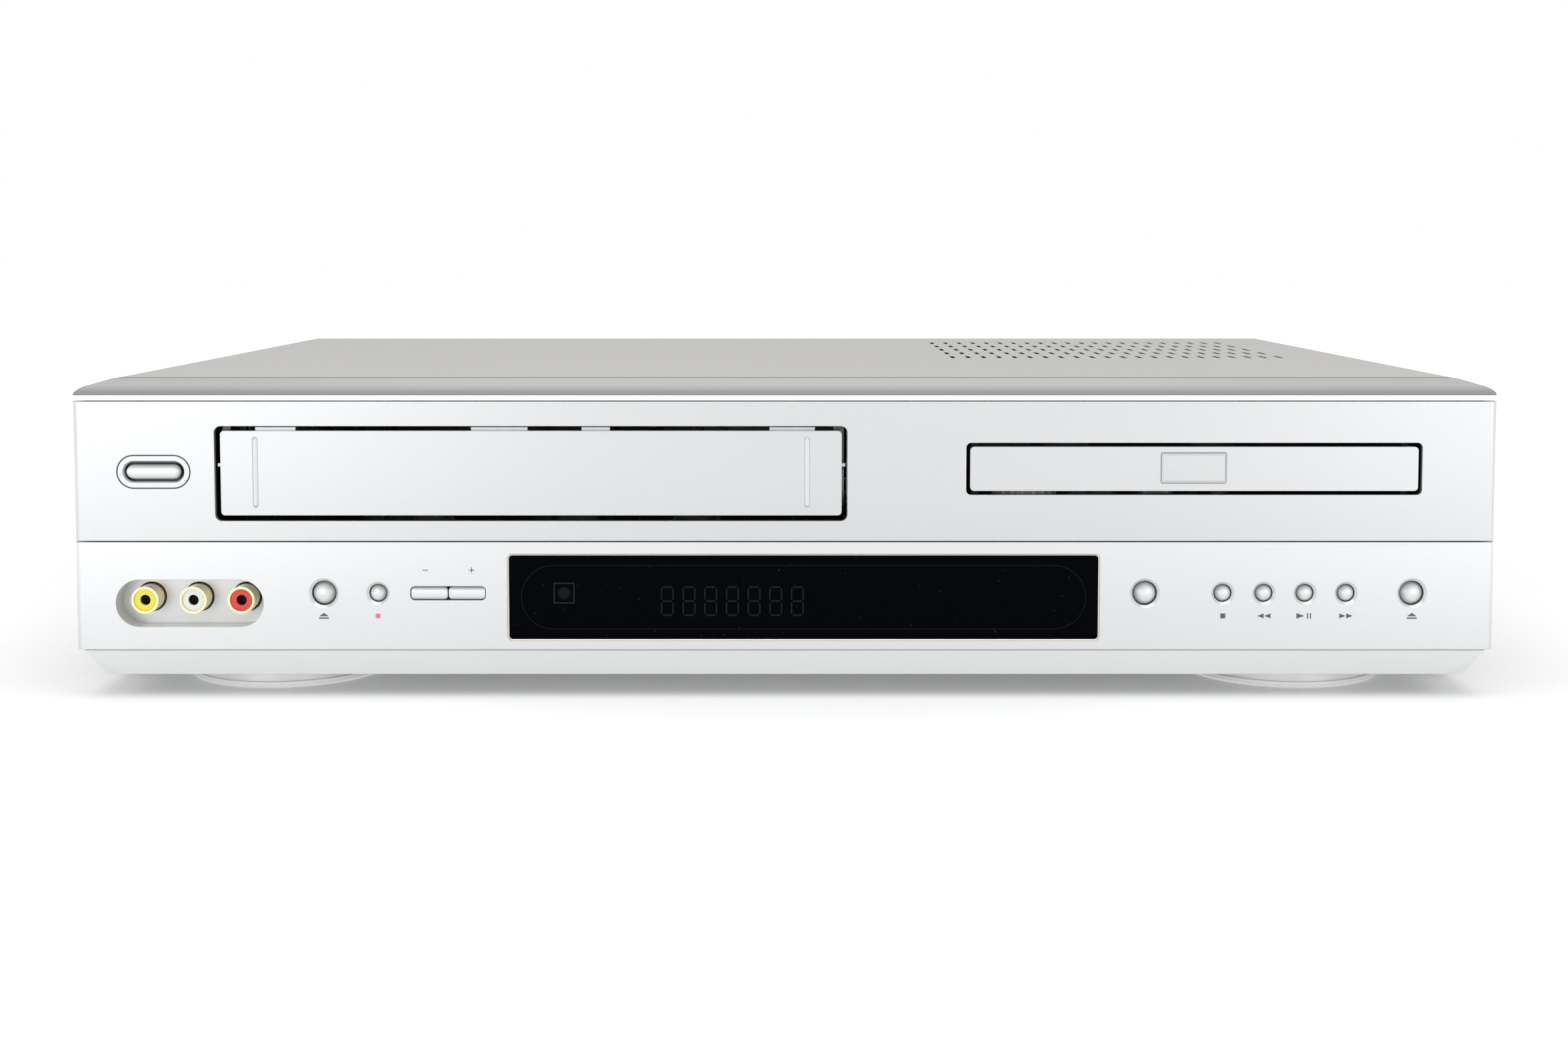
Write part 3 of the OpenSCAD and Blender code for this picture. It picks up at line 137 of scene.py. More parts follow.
class PlayerPaint(PropertyGroup):
    """Colours of the case and its front."""

    silver: colour("Upper silver", (0.545, 0.555, 0.56), "Paint of the upper front, the flap and the drawer")
    # Painted light: the lower front wears the front's silver, lightened to stand for the light it gets from
    # the floor
    lower_silver: colour("Lower silver", (0.64, 0.65, 0.655), "Metallic paint of the lower front")
    key_silver: colour("Key silver", (0.70, 0.71, 0.715), "Brighter metallic finish of the keys")
    cover: colour("Cover grey", (0.42, 0.412, 0.395), "Powder coat of the sheet cover")
    brow: colour("Brow grey", (0.33, 0.325, 0.315), "Painted strip between the rim and the cover")
    # Painted highlight: the rim's white stands for light caught on its upturned edge
    rim: colour("Rim white", (0.93, 0.935, 0.94), "Bright strip along the top of the front")
    # Painted light: the feet wear the front's silver, lightened nearly to white to stand for the light they
    # catch from the front
    foot: colour("Foot silver", (0.95, 0.95, 0.96), "Silver paint of the round feet")
    # Painted light: the skirt wears the front's silver, lightened to stand for the light it catches low in
    # front
    skirt: colour("Skirt silver", (0.72, 0.725, 0.725), "Lighter metallic paint of the skirt")
    window: colour("Window black", (0.0012, 0.0016, 0.0024), "Smoked display window")
    ink: colour("Ink", (0.07, 0.09, 0.115), "Printed transport symbols")
    record_dot: colour("Record dot", (0.76, 0.17, 0.22), "Printed dot of the record key")
    champagne: colour("Window frame", (0.60, 0.56, 0.46), "Thin metal frame round the window")


class PlayerInside(PropertyGroup):
    """Colours of metal, plastic and board."""

    zinc: colour("Zinc", (0.60, 0.61, 0.62), "Zinc-plated sheet")
    alloy: colour("Alloy", (0.75, 0.76, 0.78), "Turned aluminium")
    steel: colour("Steel", (0.55, 0.56, 0.58), "Ground steel")
    black: colour("Black moulding", (0.022, 0.022, 0.024), "Fine-textured black plastic")
    acetal: colour("Acetal", (0.82, 0.81, 0.77), "Natural white plastic")
    board: colour("Board green", (0.02, 0.17, 0.06), "Solder resist over laminate")
    gold: colour("Gold", (0.84, 0.74, 0.44), "Plated socket shells")
    yellow: colour("Video yellow", (0.86, 0.76, 0.06), "Insert of the video socket")
    white: colour("Left white", (0.80, 0.80, 0.78), "Insert of the left audio socket")
    red: colour("Right red", (0.74, 0.032, 0.015), "Insert of the right audio socket")


class PlayerTrim(PropertyGroup):
    """Sizes of printed marks, trim and fasteners."""

    ink_height: length("Ink height", 0.03, "How far the print stands on the surface")
    symbol_drop: length("Symbol drop", 6.9, "How far below the keys' middle the symbols stand")
    plate_width: length("Plate width", 20, "Width of the bare plate on the drawer's front")
    plate_height: length("Plate height", 9.6, "Height of the bare plate on the drawer's front")
    frame_width: length("Window frame width", 0.48, "Width of the thin frame round the window")
    screw_radius: length("Screw head radius", 3.4, "Radius of the heads of the cover's side screws")
    spring_wire: length("Spring wire", 0.35, "Wire diameter of the flap's spring")
    spring_turns: IntProperty(name="Spring turns", description="Turns of the flap's spring", default=5, min=2)


class PlayerStudio(PropertyGroup):
    """Camera and light."""

    camera_place: FloatVectorProperty(
        name="Camera place",
        description="Where the camera stands",
        default=(0.0012, -0.761, 0.1374),
        size=3,
        subtype="XYZ",
        unit="LENGTH",
        precision=4,
    )
    camera_pitch: FloatProperty(
        name="Camera pitch",
        description="How far the camera looks down",
        default=math.radians(3.8),
        subtype="ANGLE",
    )
    lens: FloatProperty(
        name="Lens", description="Focal length on a 36 mm wide frame", default=46.35, unit="CAMERA"
    )
    shift_x: FloatProperty(
        name="Shift across", description="Sideways lens shift", default=-0.003, precision=4
    )
    shift_y: FloatProperty(name="Shift up", description="Upward lens shift", default=-0.0908, precision=4)
    sky: FloatProperty(name="Sky", description="Strength of the light from all round", default=0.58, min=0)
    top_lamp: FloatProperty(name="Top lamp", description="Power of the soft lamp above", default=9, min=0)
    side_lamp: FloatProperty(
        name="Side lamps", description="Power of each soft lamp in front", default=2.4, min=0
    )


# Shader maths


class Value:
    """An output socket. Arithmetic on it adds Math nodes, so it is for numbers and not for colours."""

    def __init__(self, nodes, socket):
        self.nodes = nodes
        self.socket = socket

    def out(self, name):
        """Another output of the same node."""
        return Value(self.nodes, self.socket.node.outputs[name])

    def math(self, operation, *others):
        return self.nodes.math(operation, self, *others)

    def __add__(self, other):
        return self.math("ADD", other)

    def __sub__(self, other):
        return self.math("SUBTRACT", other)

    def __mul__(self, other):
        return self.math("MULTIPLY", other)

    def __truediv__(self, other):
        return self.math("DIVIDE", other)

    def __gt__(self, other):
        return self.math("GREATER_THAN", other)

    def __lt__(self, other):
        return self.math("LESS_THAN", other)

    def __rsub__(self, other):
        return self.nodes.math("SUBTRACT", other, self)

    def __rtruediv__(self, other):
        return self.nodes.math("DIVIDE", other, self)

    def __abs__(self):
        return self.math("ABSOLUTE")

    __radd__ = __add__
    __rmul__ = __mul__

    def at_least(self, other):
        return self.math("MAXIMUM", other)

    def at_most(self, other):
        return self.math("MINIMUM", other)


def least(values):
    """The least of several values."""
    return functools.reduce(Value.at_most, values)


class Nodes:
    """An empty node tree and the ways to fill it."""

    def __init__(self, tree):
        self.tree = tree
        tree.nodes.clear()

    def node(self, kind, settings, values):
        """Adds a node: its settings first, then a value or a link for each named or numbered socket."""
        made = self.tree.nodes.new(kind)
        for name, setting in settings.items():
            setattr(made, name, setting)
        for name, value in values.items():
            socket = made.inputs[name]
            if isinstance(value, Value):
                self.tree.links.new(value.socket, socket)
            elif socket.type == "RGBA":
                socket.default_value = (*value[:3], 1)
            else:
                socket.default_value = value
        return Value(self, made.outputs[0]) if made.outputs else None

    def math(self, operation, *values):
        return self.node("ShaderNodeMath", {"operation": operation}, dict(enumerate(values)))

    def vector(self, operation, *values, scale=None):
        sockets = dict(enumerate(values))
        if scale is not None:
            sockets["Scale"] = scale
        return self.node("ShaderNodeVectorMath", {"operation": operation}, sockets)

    def length(self, u, v):
        """Distance from the origin of a point in a plane."""
        return (u * u + v * v).math("SQRT")

    def nearest(self, u, v, centres):
        """Distance in a plane from the nearest of several centres."""
        return least(self.length(u - a, v - b) for a, b in centres)

    def step(self, value, low, high):
        """0 below low, 1 above high and smooth between them."""
        limits = {"Value": value, "From Min": low, "From Max": high}
        return self.node("ShaderNodeMapRange", {"interpolation_type": "SMOOTHSTEP"}, limits)

    def mix(self, factor, first, second):
        """A colour between two others."""
        made = self.node("ShaderNodeMix", {"data_type": "RGBA"}, {0: factor, 6: first, 7: second})
        return Value(self, made.socket.node.outputs[2])

    def watched(self):
        """1 for what the camera sees, straight, in a gloss or through glass."""
        rays = self.node("ShaderNodeLightPath", {}, {})
        seen = rays.out("Is Camera Ray").at_least(rays.out("Is Glossy Ray"))
        return seen.at_least(rays.out("Is Transmission Ray"))

    def axes(self, vector):
        """The three parts of a vector."""
        split = self.node("ShaderNodeSeparateXYZ", {}, {"Vector": vector})
        return split.out("X"), split.out("Y"), split.out("Z")


def grey(level):
    """A neutral colour."""
    return (level, level, level)


def tint(base, factor):
    """A colour times a factor."""
    return tuple(part * factor for part in base)


MOULDING_AND_GAP_SHADE = (0.02, 0.02, 0.022)  # black of plastic chips and of bare moulding, also used as painted shade deep in the front's gaps


def spaced(values):
    """Socket names from keywords, whose underscores stand for spaces."""
    return {name.replace("_", " "): value for name, value in values.items()}


class Finish(Nodes):
    """One material: a Principled shader and the nodes that feed it. Lengths are millimetres."""

    def __init__(self, name, **constants):
        self.material = bpy.data.materials.new(name)
        self.material.use_nodes = True
        super().__init__(self.material.node_tree)
        self.shader = self.node("ShaderNodeBsdfPrincipled", {}, spaced(constants))
        self.node("ShaderNodeOutputMaterial", {}, {"Surface": self.shader})
        place = self.node("ShaderNodeTexCoord", {}, {}).out("Object")
        self.mm = self.vector("SCALE", place, scale=MM)
        self.x, self.y, self.z = self.axes(self.mm)

    def stretched(self, x, y, z):
        """The place, scaled along each axis."""
        return self.vector("MULTIPLY", self.mm, (x, y, z))

    def stadium(self, x, z, run):
        """Distance from a level line that reaches a run to each side of a point on the front."""
        return self.length((abs(self.x - x) - run).at_least(0.0), self.z - z)

    def noise(self, place, scale=1.0, detail=2.0, roughness=0.5):
        grain = {"Vector": place, "Scale": scale, "Detail": detail, "Roughness": roughness}
        return self.node("ShaderNodeTexNoise", {}, grain)

    def cells(self, place, scale=1.0, feature="F1"):
        return self.node("ShaderNodeTexVoronoi", {"feature": feature}, {"Vector": place, "Scale": scale})

    def spangle(self, scale):
        """A number from 0 to 1 for each cell of the place."""
        shades = self.cells(self.mm, scale).out("Color")
        return self.node("ShaderNodeSeparateColor", {}, {"Color": shades})

    def shade(self, base, amount, depth):
        """The base colour, darker and lighter by depth as amount goes from 0 to 1."""
        light = tuple(min(1, part) for part in tint(base, 1 + depth))
        return self.mix(amount, tint(base, 1 - depth), light)

    def feed(self, **links):
        """Links values to the shader's own sockets."""
        for name, value in spaced(links).items():
            self.tree.links.new(value.socket, self.shader.socket.node.inputs[name])

    def bump(self, height, strength, distance, radius=0.0):
        """Normal from a height in millimetres, over edges rounded to a radius."""
        values = {"Height": height, "Strength": strength, "Distance": distance / MM}
        if radius:
            values["Normal"] = self.node("ShaderNodeBevel", {"samples": 4}, {"Radius": radius / MM})
        self.feed(Normal=self.node("ShaderNodeBump", {}, values))


def dress(finish, *nodes):
    """Gives CAD nodes a finish in each of their slots."""
    for node in nodes:
        for slot in frame["nodes"][node].material_slots:
            slot.material = finish.material


# Masks of painted shade: above 0 where something darker than the main colour shows, standing for shade in
# gaps, grooves, seams and holes


def behind(paint, depth, left=-OPENINGS_END):
    """What lies deeper than a depth behind the front, right of an x."""
    deep = paint.step(paint.y, FRONT + depth, FRONT + depth + 0.8)
    return deep * (paint.x > left) * (paint.x < OPENINGS_END)


def upper_gap_shade(paint):
    """Painted shade: the walls deep in the upper front's openings and the fine groove round the power key."""
    x, _, z = middle("power_key")
    run, radius, half_width = 6.05, 4.98, 0.26
    groove = abs(paint.stadium(x, z, run) - radius) < half_width
    return behind(paint, 0.9).at_least(groove * (paint.y > FRONT + 0.05))


def lower_gap_shade(paint):
    """Painted shade in the lower front's openings above its lip and right of the phono sockets' recess."""
    lip = corners("lower_fascia")[0][2] + 2
    return 0.8 * behind(paint, 0.9, left=-150) * (paint.z > lip)


def flap_gap_shade(paint):
    """Painted shade on the flap's back, deep behind its front."""
    return behind(paint, 2.8)


def skirt_painted_shadow(paint):
    """Painted shadow: a narrow dark band where the skirt meets the front, under the front's lip."""
    top = corners("plinth")[1][2]
    return 0.6 * paint.step(paint.z, top - 1.05, top - 0.75)


def vent_wall_shade(coat):
    """Painted shade on the cut walls of the vents, in the cover's top sheet and well inside its edges."""
    low, high = corners("top_cover")
    skin, sheet, margin_x, margin_y = 0.08, 0.95, 20, 8
    across = abs(coat.x) < high[0] - margin_x
    along = (coat.y > low[1] + margin_y) * (coat.y < high[1] - margin_y)
    return (coat.z < high[2] - skin) * (coat.z > high[2] - sheet) * across * along


# Finishes


def metallic_paint(name, base, bare=None, metallic=0.5, roughness=0.34, coat=0.25):
    """Silver paint: fine flakes, faint hairlines along X and slightly rounded edges.
    As the mask bare rises to 1, the paint ends and the dark of bare moulding shows, as painted shade in gaps,
    grooves and seams."""
    paint = Finish(name, Coat_Weight=coat, Coat_Roughness=0.12, Metallic=metallic)
    hair = paint.noise(paint.stretched(0.05, 1.2, 5.5), detail=3, roughness=0.6)
    spark = paint.spangle(7)
    cloud = paint.noise(paint.stretched(0.012, 0.02, 0.03), detail=2)
    silver = paint.shade(base, 0.45 * hair + 0.3 * spark + 0.25 * cloud, 0.055)
    # Painted shade: where the mask rises, the colour goes to the dark of bare moulding
    if bare:
        mask = bare(paint)
        silver = paint.mix(mask, silver, MOULDING_AND_GAP_SHADE)
        paint.feed(Metallic=metallic * (1 - mask))
    paint.feed(Base_Color=silver, Roughness=roughness + 0.12 * (hair - 0.5) + 0.04 * (spark - 0.5))
    paint.bump(hair + 0.4 * spark, 0.05, 0.04, radius=0.3)
    return paint


def key_paint(name, base):
    """Satin silver on domes and bars, with painted light: a painted highlight lies outwards and low on each
    key, and painted shade darkens it towards the edge nearer the middle of the front.
    """
    paint = Finish(name, Coat_Weight=0.15, Coat_Roughness=0.2)
    hair = paint.noise(paint.mm, 3.0, detail=2)

    def reach(key):
        """Distance from a key's painted highlight, which lies outwards and down, as a share of the radius."""
        run, radius = KEYS[key]
        x, _, z = middle(f"{key}_key")
        return paint.stadium(x + math.copysign(0.2 * radius, x), z - 0.12 * radius, run) / radius

    # Painted shade: each key darkens away from its painted highlight towards its rim
    edge = paint.step(least(map(reach, KEYS)), 0.42, 1.2)
    # Painted shade: the keys' sides deep in their holes are painted near black
    side = behind(paint, 1.9)
    tone = paint.mix(0.75 * edge, paint.shade(base, hair, 0.04), tint(base, 0.22))
    paint.feed(
        Base_Color=paint.mix(side, tone, (0.05, 0.05, 0.052)),
        Roughness=0.4 + 0.1 * (hair - 0.5),
        Metallic=0.45 * (1 - side),
    )
    paint.bump(hair, 0.04, 0.03, radius=0.3)
    return paint


def powder_coat(name, base):
    """Powder coat on sheet: orange peel, fine speckle and a dull sheen. The vents' cut walls are painted near
    black as shade.
    """
    coat = Finish(name, Metallic=0.1, Specular_IOR_Level=0.45)
    peel = coat.noise(coat.mm, 1.1, detail=3, roughness=0.6)
    grain = coat.noise(coat.mm, 5.5, detail=1)
    cloud = coat.noise(coat.stretched(0.01, 0.015, 0.02), detail=2)
    sheet = coat.shade(base, 0.55 * grain + 0.45 * cloud, 0.07)
    coat.feed(Base_Color=coat.mix(vent_wall_shade(coat), sheet, grey(0.012)), Roughness=0.46 + 0.12 * (peel - 0.5))
    coat.bump(peel + 0.3 * grain, 0.35, 0.06, radius=0.4)
    return coat


def satin(name, base, roughness, coat=0.0, radius=0.3):
    """Satin paint with a faint cloud and grain."""
    paint = Finish(name, Coat_Weight=coat, Coat_Roughness=0.1)
    grain = paint.noise(paint.mm, 4.0, detail=2)
    cloud = paint.noise(paint.stretched(0.02, 0.03, 0.03), detail=2)
    paint.feed(
        Base_Color=paint.shade(base, 0.5 * grain + 0.5 * cloud, 0.04),
        Roughness=roughness + 0.08 * (grain - 0.5),
    )
    paint.bump(grain, 0.06, 0.04, radius=radius)
    return paint


def brow_paint(name, base):
    """Satin grey with faint streaks along X, darker near the rim and towards the ends as painted shade on the
    brow's curve.
    """
    low, high = corners("brow")
    paint = Finish(name, Metallic=0.15, Coat_Weight=0.15, Coat_Roughness=0.2)
    streak = paint.noise(paint.stretched(0.03, 1.5, 3.0), detail=3)
    # Painted light and shade: lighter up the brow, less so towards the ends, and darker near the rim where it
    # curves forward
    ends = paint.step(abs(paint.x), 90, 200)
    painted_light_climb = paint.step(paint.z, low[2], high[2]) * (1 - 0.5 * ends)
    shade = paint.mix(painted_light_climb, tint(base, 0.5), tint(base, 1.12))
    paint.feed(
        Base_Color=paint.mix(0.35, shade, paint.shade(base, streak, 0.08)),
        Roughness=0.36 + 0.1 * (streak - 0.5),
    )
    paint.bump(streak, 0.05, 0.04, radius=0.3)
    return paint


def plated(name, base, roughness=0.3, cell=0.16):
    """Zinc-plated sheet: soft spangle, rolling lines and dull spots."""
    metal = Finish(name, Metallic=1.0)
    spangle = metal.spangle(cell)
    lines = metal.noise(metal.stretched(4.0, 0.08, 4.0), detail=2)
    dull = metal.noise(metal.mm, 0.08, detail=4, roughness=0.65)
    metal.feed(
        Base_Color=metal.shade(base, 0.35 * spangle + 0.3 * lines + 0.35 * dull, 0.16),
        Roughness=roughness + 0.16 * (dull - 0.5) + 0.1 * (spangle - 0.5),
    )
    metal.bump(0.5 * lines + dull, 0.08, 0.05, radius=0.25)
    return metal


def turned(name, base, centres, pitch=0.35, roughness=0.24):
    """Turned metal: fine rings round upright axes, each kept to its own centre (x, y)."""
    metal = Finish(name, Metallic=1.0)
    rings = (metal.nearest(metal.x, metal.y, centres) * (2 * math.pi / pitch)).math("SINE")
    grain = metal.noise(metal.mm, 1.4, detail=3)
    metal.feed(
        Base_Color=metal.shade(base, 0.5 + 0.2 * rings + 0.5 * (grain - 0.5), 0.09),
        Roughness=roughness + 0.1 * (grain - 0.5),
    )
    metal.bump(0.6 * rings + grain, 0.12, 0.02, radius=0.25)
    return metal


def gilt(name, base, centres):
    """Gold plating with turned rings round each socket's axis, at its centre (x, z)."""
    metal = Finish(name, Metallic=0.75)
    rings = (metal.nearest(metal.x, metal.z, centres) * 16).math("SINE")
    grain = metal.noise(metal.mm, 3.0, detail=2)
    metal.feed(
        Base_Color=metal.shade(base, 0.5 + 0.2 * rings + 0.4 * (grain - 0.5), 0.1),
        Roughness=0.2 + 0.1 * (grain - 0.5),
    )
    metal.bump(rings + grain, 0.08, 0.02, radius=0.15)
    return metal


def ground_steel(name, base):
    """Ground steel rods and arms: faint scratches along Z."""
    metal = Finish(name, Metallic=1.0)
    scratch = metal.noise(metal.stretched(6.0, 6.0, 0.25), detail=3)
    metal.feed(Base_Color=metal.shade(base, scratch, 0.1), Roughness=0.2 + 0.14 * (scratch - 0.5))
    metal.bump(scratch, 0.1, 0.02, radius=0.15)
    return metal


def drawn_wire(name, base):
    """Drawn spring wire."""
    wire = Finish(name, Metallic=1.0)
    grain = wire.noise(wire.mm, 6.0, detail=2)
    wire.feed(Base_Color=wire.shade(base, grain, 0.15), Roughness=0.26 + 0.12 * (grain - 0.5))
    wire.bump(grain, 0.1, 0.02)
    return wire


def moulding(name, base, roughness, grain_size=3.2, strength=0.25, translucent=0.0):
    """Moulded plastic or rubber: an eroded grain and slow clouds."""
    plastic = Finish(name, Subsurface_Weight=translucent, Subsurface_Scale=0.002)
    grain = plastic.noise(plastic.mm, grain_size, detail=2)
    cloud = plastic.noise(plastic.mm, 0.05, detail=3)
    plastic.feed(
        Base_Color=plastic.shade(base, 0.6 * grain + 0.4 * cloud, 0.12),
        Roughness=roughness + 0.14 * (grain - 0.5),
    )
    plastic.bump(grain, strength, 0.05, radius=0.2)
    return plastic


def circuit_board(name, base):
    """Solder resist over copper tracks, with tinned pads; black chips stand on the boards near the floor."""
    board = Finish(name, Coat_Weight=0.3, Coat_Roughness=0.15)
    tracks = board.step(board.cells(board.stretched(0.28, 0.28, 0.28), 1.0, "DISTANCE_TO_EDGE"), 0.06, 0.09)
    pads = 1 - board.step(board.cells(board.mm, 0.42), 0.42, 0.5)
    bare_copper = tuple(part * 1.9 + 0.01 for part in base)
    tinned = board.mix(pads, board.mix(tracks, bare_copper, base), (0.62, 0.62, 0.60))
    chips_low, chips_high, front_boards = 15.7, 18.2, -154
    chips = (board.z > chips_low) * (board.z < chips_high) * (board.y > front_boards)
    weave = board.noise(board.mm, 2.5, detail=1)
    board.feed(Base_Color=board.mix(chips, tinned, MOULDING_AND_GAP_SHADE), Roughness=0.34 + 0.2 * chips + 0.1 * weave)
    board.bump(0.6 * pads + 0.3 * (1 - tracks) + 0.2 * weave, 0.2, 0.05)
    return board


def outline_behind(glass):
    """A fine line along a stadium in the window's middle."""
    low, high = corners("display_window")
    x, _, z = (low + high) / 2
    run, radius = (high[0] - low[0]) / 2 - 13.6, 9.7
    return 1 - glass.step(abs(glass.stadium(x, z, run) - radius), 0.05, 0.16)


def digits_behind(glass):
    """Seven figures of eight in thin segments: one figure, repeated along X at each pitch."""
    count, pitch, first, level = 7, 6.57, -35.6, 29.95
    along = glass.x - first
    row = (along > -pitch / 2) * (along < (count - 0.5) * pitch)
    slot = (along / pitch + 0.5).math("FLOOR")
    u, v = abs(along - pitch * slot), abs(glass.z - level)
    uprights = (abs(u - 1.75) < 0.22) * (abs(v - 2.2) < 1.7)
    bars = ((v < 0.25) + (abs(v - 4.3) < 0.25)).at_most(1.0) * (u < 1.4)
    return (uprights + bars).at_most(1.0) * row


def receiver_behind(glass):
    """A fine square with a soft lens in it."""
    x, z, half = -66.9, 32.4, 3.0
    u, v = abs(glass.x - x), abs(glass.z - z)
    square = 1 - glass.step(abs(u.at_least(v) - half), 0.08, 0.25)
    lens = 1 - glass.step(glass.length(u, v), 1.2, 2.3)
    return 0.9 * square + 0.35 * lens


def smoked_window(name, base):
    """Near-black acrylic: behind it, faintly, an outline, seven digits and the receiver's square."""
    glass = Finish(name, Specular_IOR_Level=0.01)
    faint = 0.35 * outline_behind(glass) + 0.5 * digits_behind(glass) + receiver_behind(glass)
    dust = glass.step(glass.noise(glass.mm, 0.9, detail=2), 0.735, 0.76)
    lit = glass.mix(faint.at_most(1.0), base, (0.026, 0.028, 0.026))
    glass.feed(Base_Color=glass.mix(0.12 * dust, lit, grey(0.3)), Roughness=0.05 + 0.12 * dust)
    glass.bump(glass.noise(glass.mm, 0.04, detail=1), 0.04, 0.05, radius=0.3)
    return glass


def display_tube(name, base):
    """Glass tube with a fine grid behind it."""
    tube = Finish(name, Coat_Weight=0.6, Coat_Roughness=0.05)
    mesh = ((tube.x * 6.0).math("SINE") * (tube.z * 6.0).math("SINE")) * 0.5 + 0.5
    tube.feed(Base_Color=tube.shade(base, mesh, 0.35), Roughness=0.2 + 0.1 * mesh)
    return tube


def three_shades(name, shades, centres, face=None):
    """One moulded plastic, in a shade for each of three sockets from left to right.
    Behind a face, if there is one, the sockets' pin holes are painted near black as shade."""
    insert = Finish(name, Coat_Weight=0.2)
    grain = insert.noise(insert.mm, 3.5, detail=2)
    edges = [(here[0] + there[0]) / 2 for here, there in zip(centres, centres[1:])]
    tone = insert.mix(insert.x > edges[0], shades[0], shades[1])
    tone = insert.mix(insert.x > edges[1], tone, shades[2])
    tone = insert.mix(0.12 * grain, tone, grey(0.02))
    if face is not None:
        pin_radius = 1.65
        deep = insert.step(insert.y, face + 0.4, face + 1.6)
        pin_hole_shade = (insert.nearest(insert.x, insert.z, centres) < pin_radius) * deep
        tone = insert.mix(pin_hole_shade, tone, grey(0.004))
    insert.feed(Base_Color=tone, Roughness=0.34 + 0.1 * (grain - 0.5))
    insert.bump(grain, 0.08, 0.03, radius=0.12)
    return insert


def power_finish(name):
    """Wound transformer, black sleeved capacitors and a black heat sink's fins, told apart by place."""
    right = corners("power_parts")[1][0]
    coil_left, coil_right, sink_left = right - 60, right - 24, right - 14
    parts = Finish(name, Coat_Weight=0.15)
    wound = (parts.x > coil_left) * (parts.x < coil_right)
    sink = parts.x > sink_left
    wires = (parts.z * 9).math("SINE") * 0.5 + 0.5
    tone = parts.mix(wound, (0.025, 0.027, 0.035), parts.shade((0.42, 0.20, 0.05), wires, 0.25))
    parts.feed(
        Base_Color=parts.mix(sink, tone, (0.06, 0.06, 0.065)),
        Roughness=0.38 + 0.12 * wires,
        Metallic=0.6 * sink,
    )
    parts.bump(wires * wound, 0.25, 0.08, radius=0.3)
    return parts


# Surfaces


def weld(points, faces, step=1e-4):
    """Joins points that round to the same multiple of a step, and drops the triangles that this closes."""
    cells = np.round(points / step).astype(np.int64)
    _, first, back = np.unique(cells, axis=0, return_index=True, return_inverse=True)
    faces = back.reshape(-1)[faces]
    a, b, c = faces.T
    return points[first], faces[(a != b) & (b != c) & (c != a)]


def grid_faces(rows, columns, close_rows=False):
    """Two triangles for each cell of a grid of points, whose columns always close on themselves."""
    i, j = np.meshgrid(np.arange(rows if close_rows else rows - 1), np.arange(columns), indexing="ij")
    below, beside = (i + 1) % rows * columns, (j + 1) % columns
    a, b, c, d = i * columns + j, below + j, below + beside, i * columns + beside
    return np.concatenate([np.stack(corner, -1).reshape(-1, 3) for corner in ([a, b, c], [a, c, d])])


def rounded_outline(width, height, radius, steps=8):
    """Rounded rectangle: four quarter circles, joined by the sides, as points and outward normals."""
    quarter = np.radians(np.linspace(0, 90, steps + 1))[None]
    angle = quarter + np.radians([0, 90, 180, 270])[:, None]
    normal = np.stack([np.cos(angle), np.sin(angle)], -1)
    inner = [width / 2 - radius, height / 2 - radius]
    centre = np.array([[1, 1], [-1, 1], [-1, -1], [1, -1]]) * inner
    return (centre[:, None] + radius * normal).reshape(-1, 2), normal.reshape(-1, 2)


def circle_outline(radius, steps=32):
    """Circle: radius times (cos a, sin a), which is its normal too."""
    angle = np.linspace(0, 2 * np.pi, steps, endpoint=False)
    normal = np.stack([np.cos(angle), np.sin(angle)], -1)
    return radius * normal, normal


def polygon_outline(points):
    """Convex polygon with no offset: its corners and zero normals."""
    points = np.array(points, float)
    return points, np.zeros_like(points)


# Axes across, up and along for an outline that faces the front or the back, and for one that lies level
STANDING = ((1, 0, 0), (0, 0, 1), (0, 1, 0))
LYING = ((1, 0, 0), (0, 1, 0), (0, 0, 1))


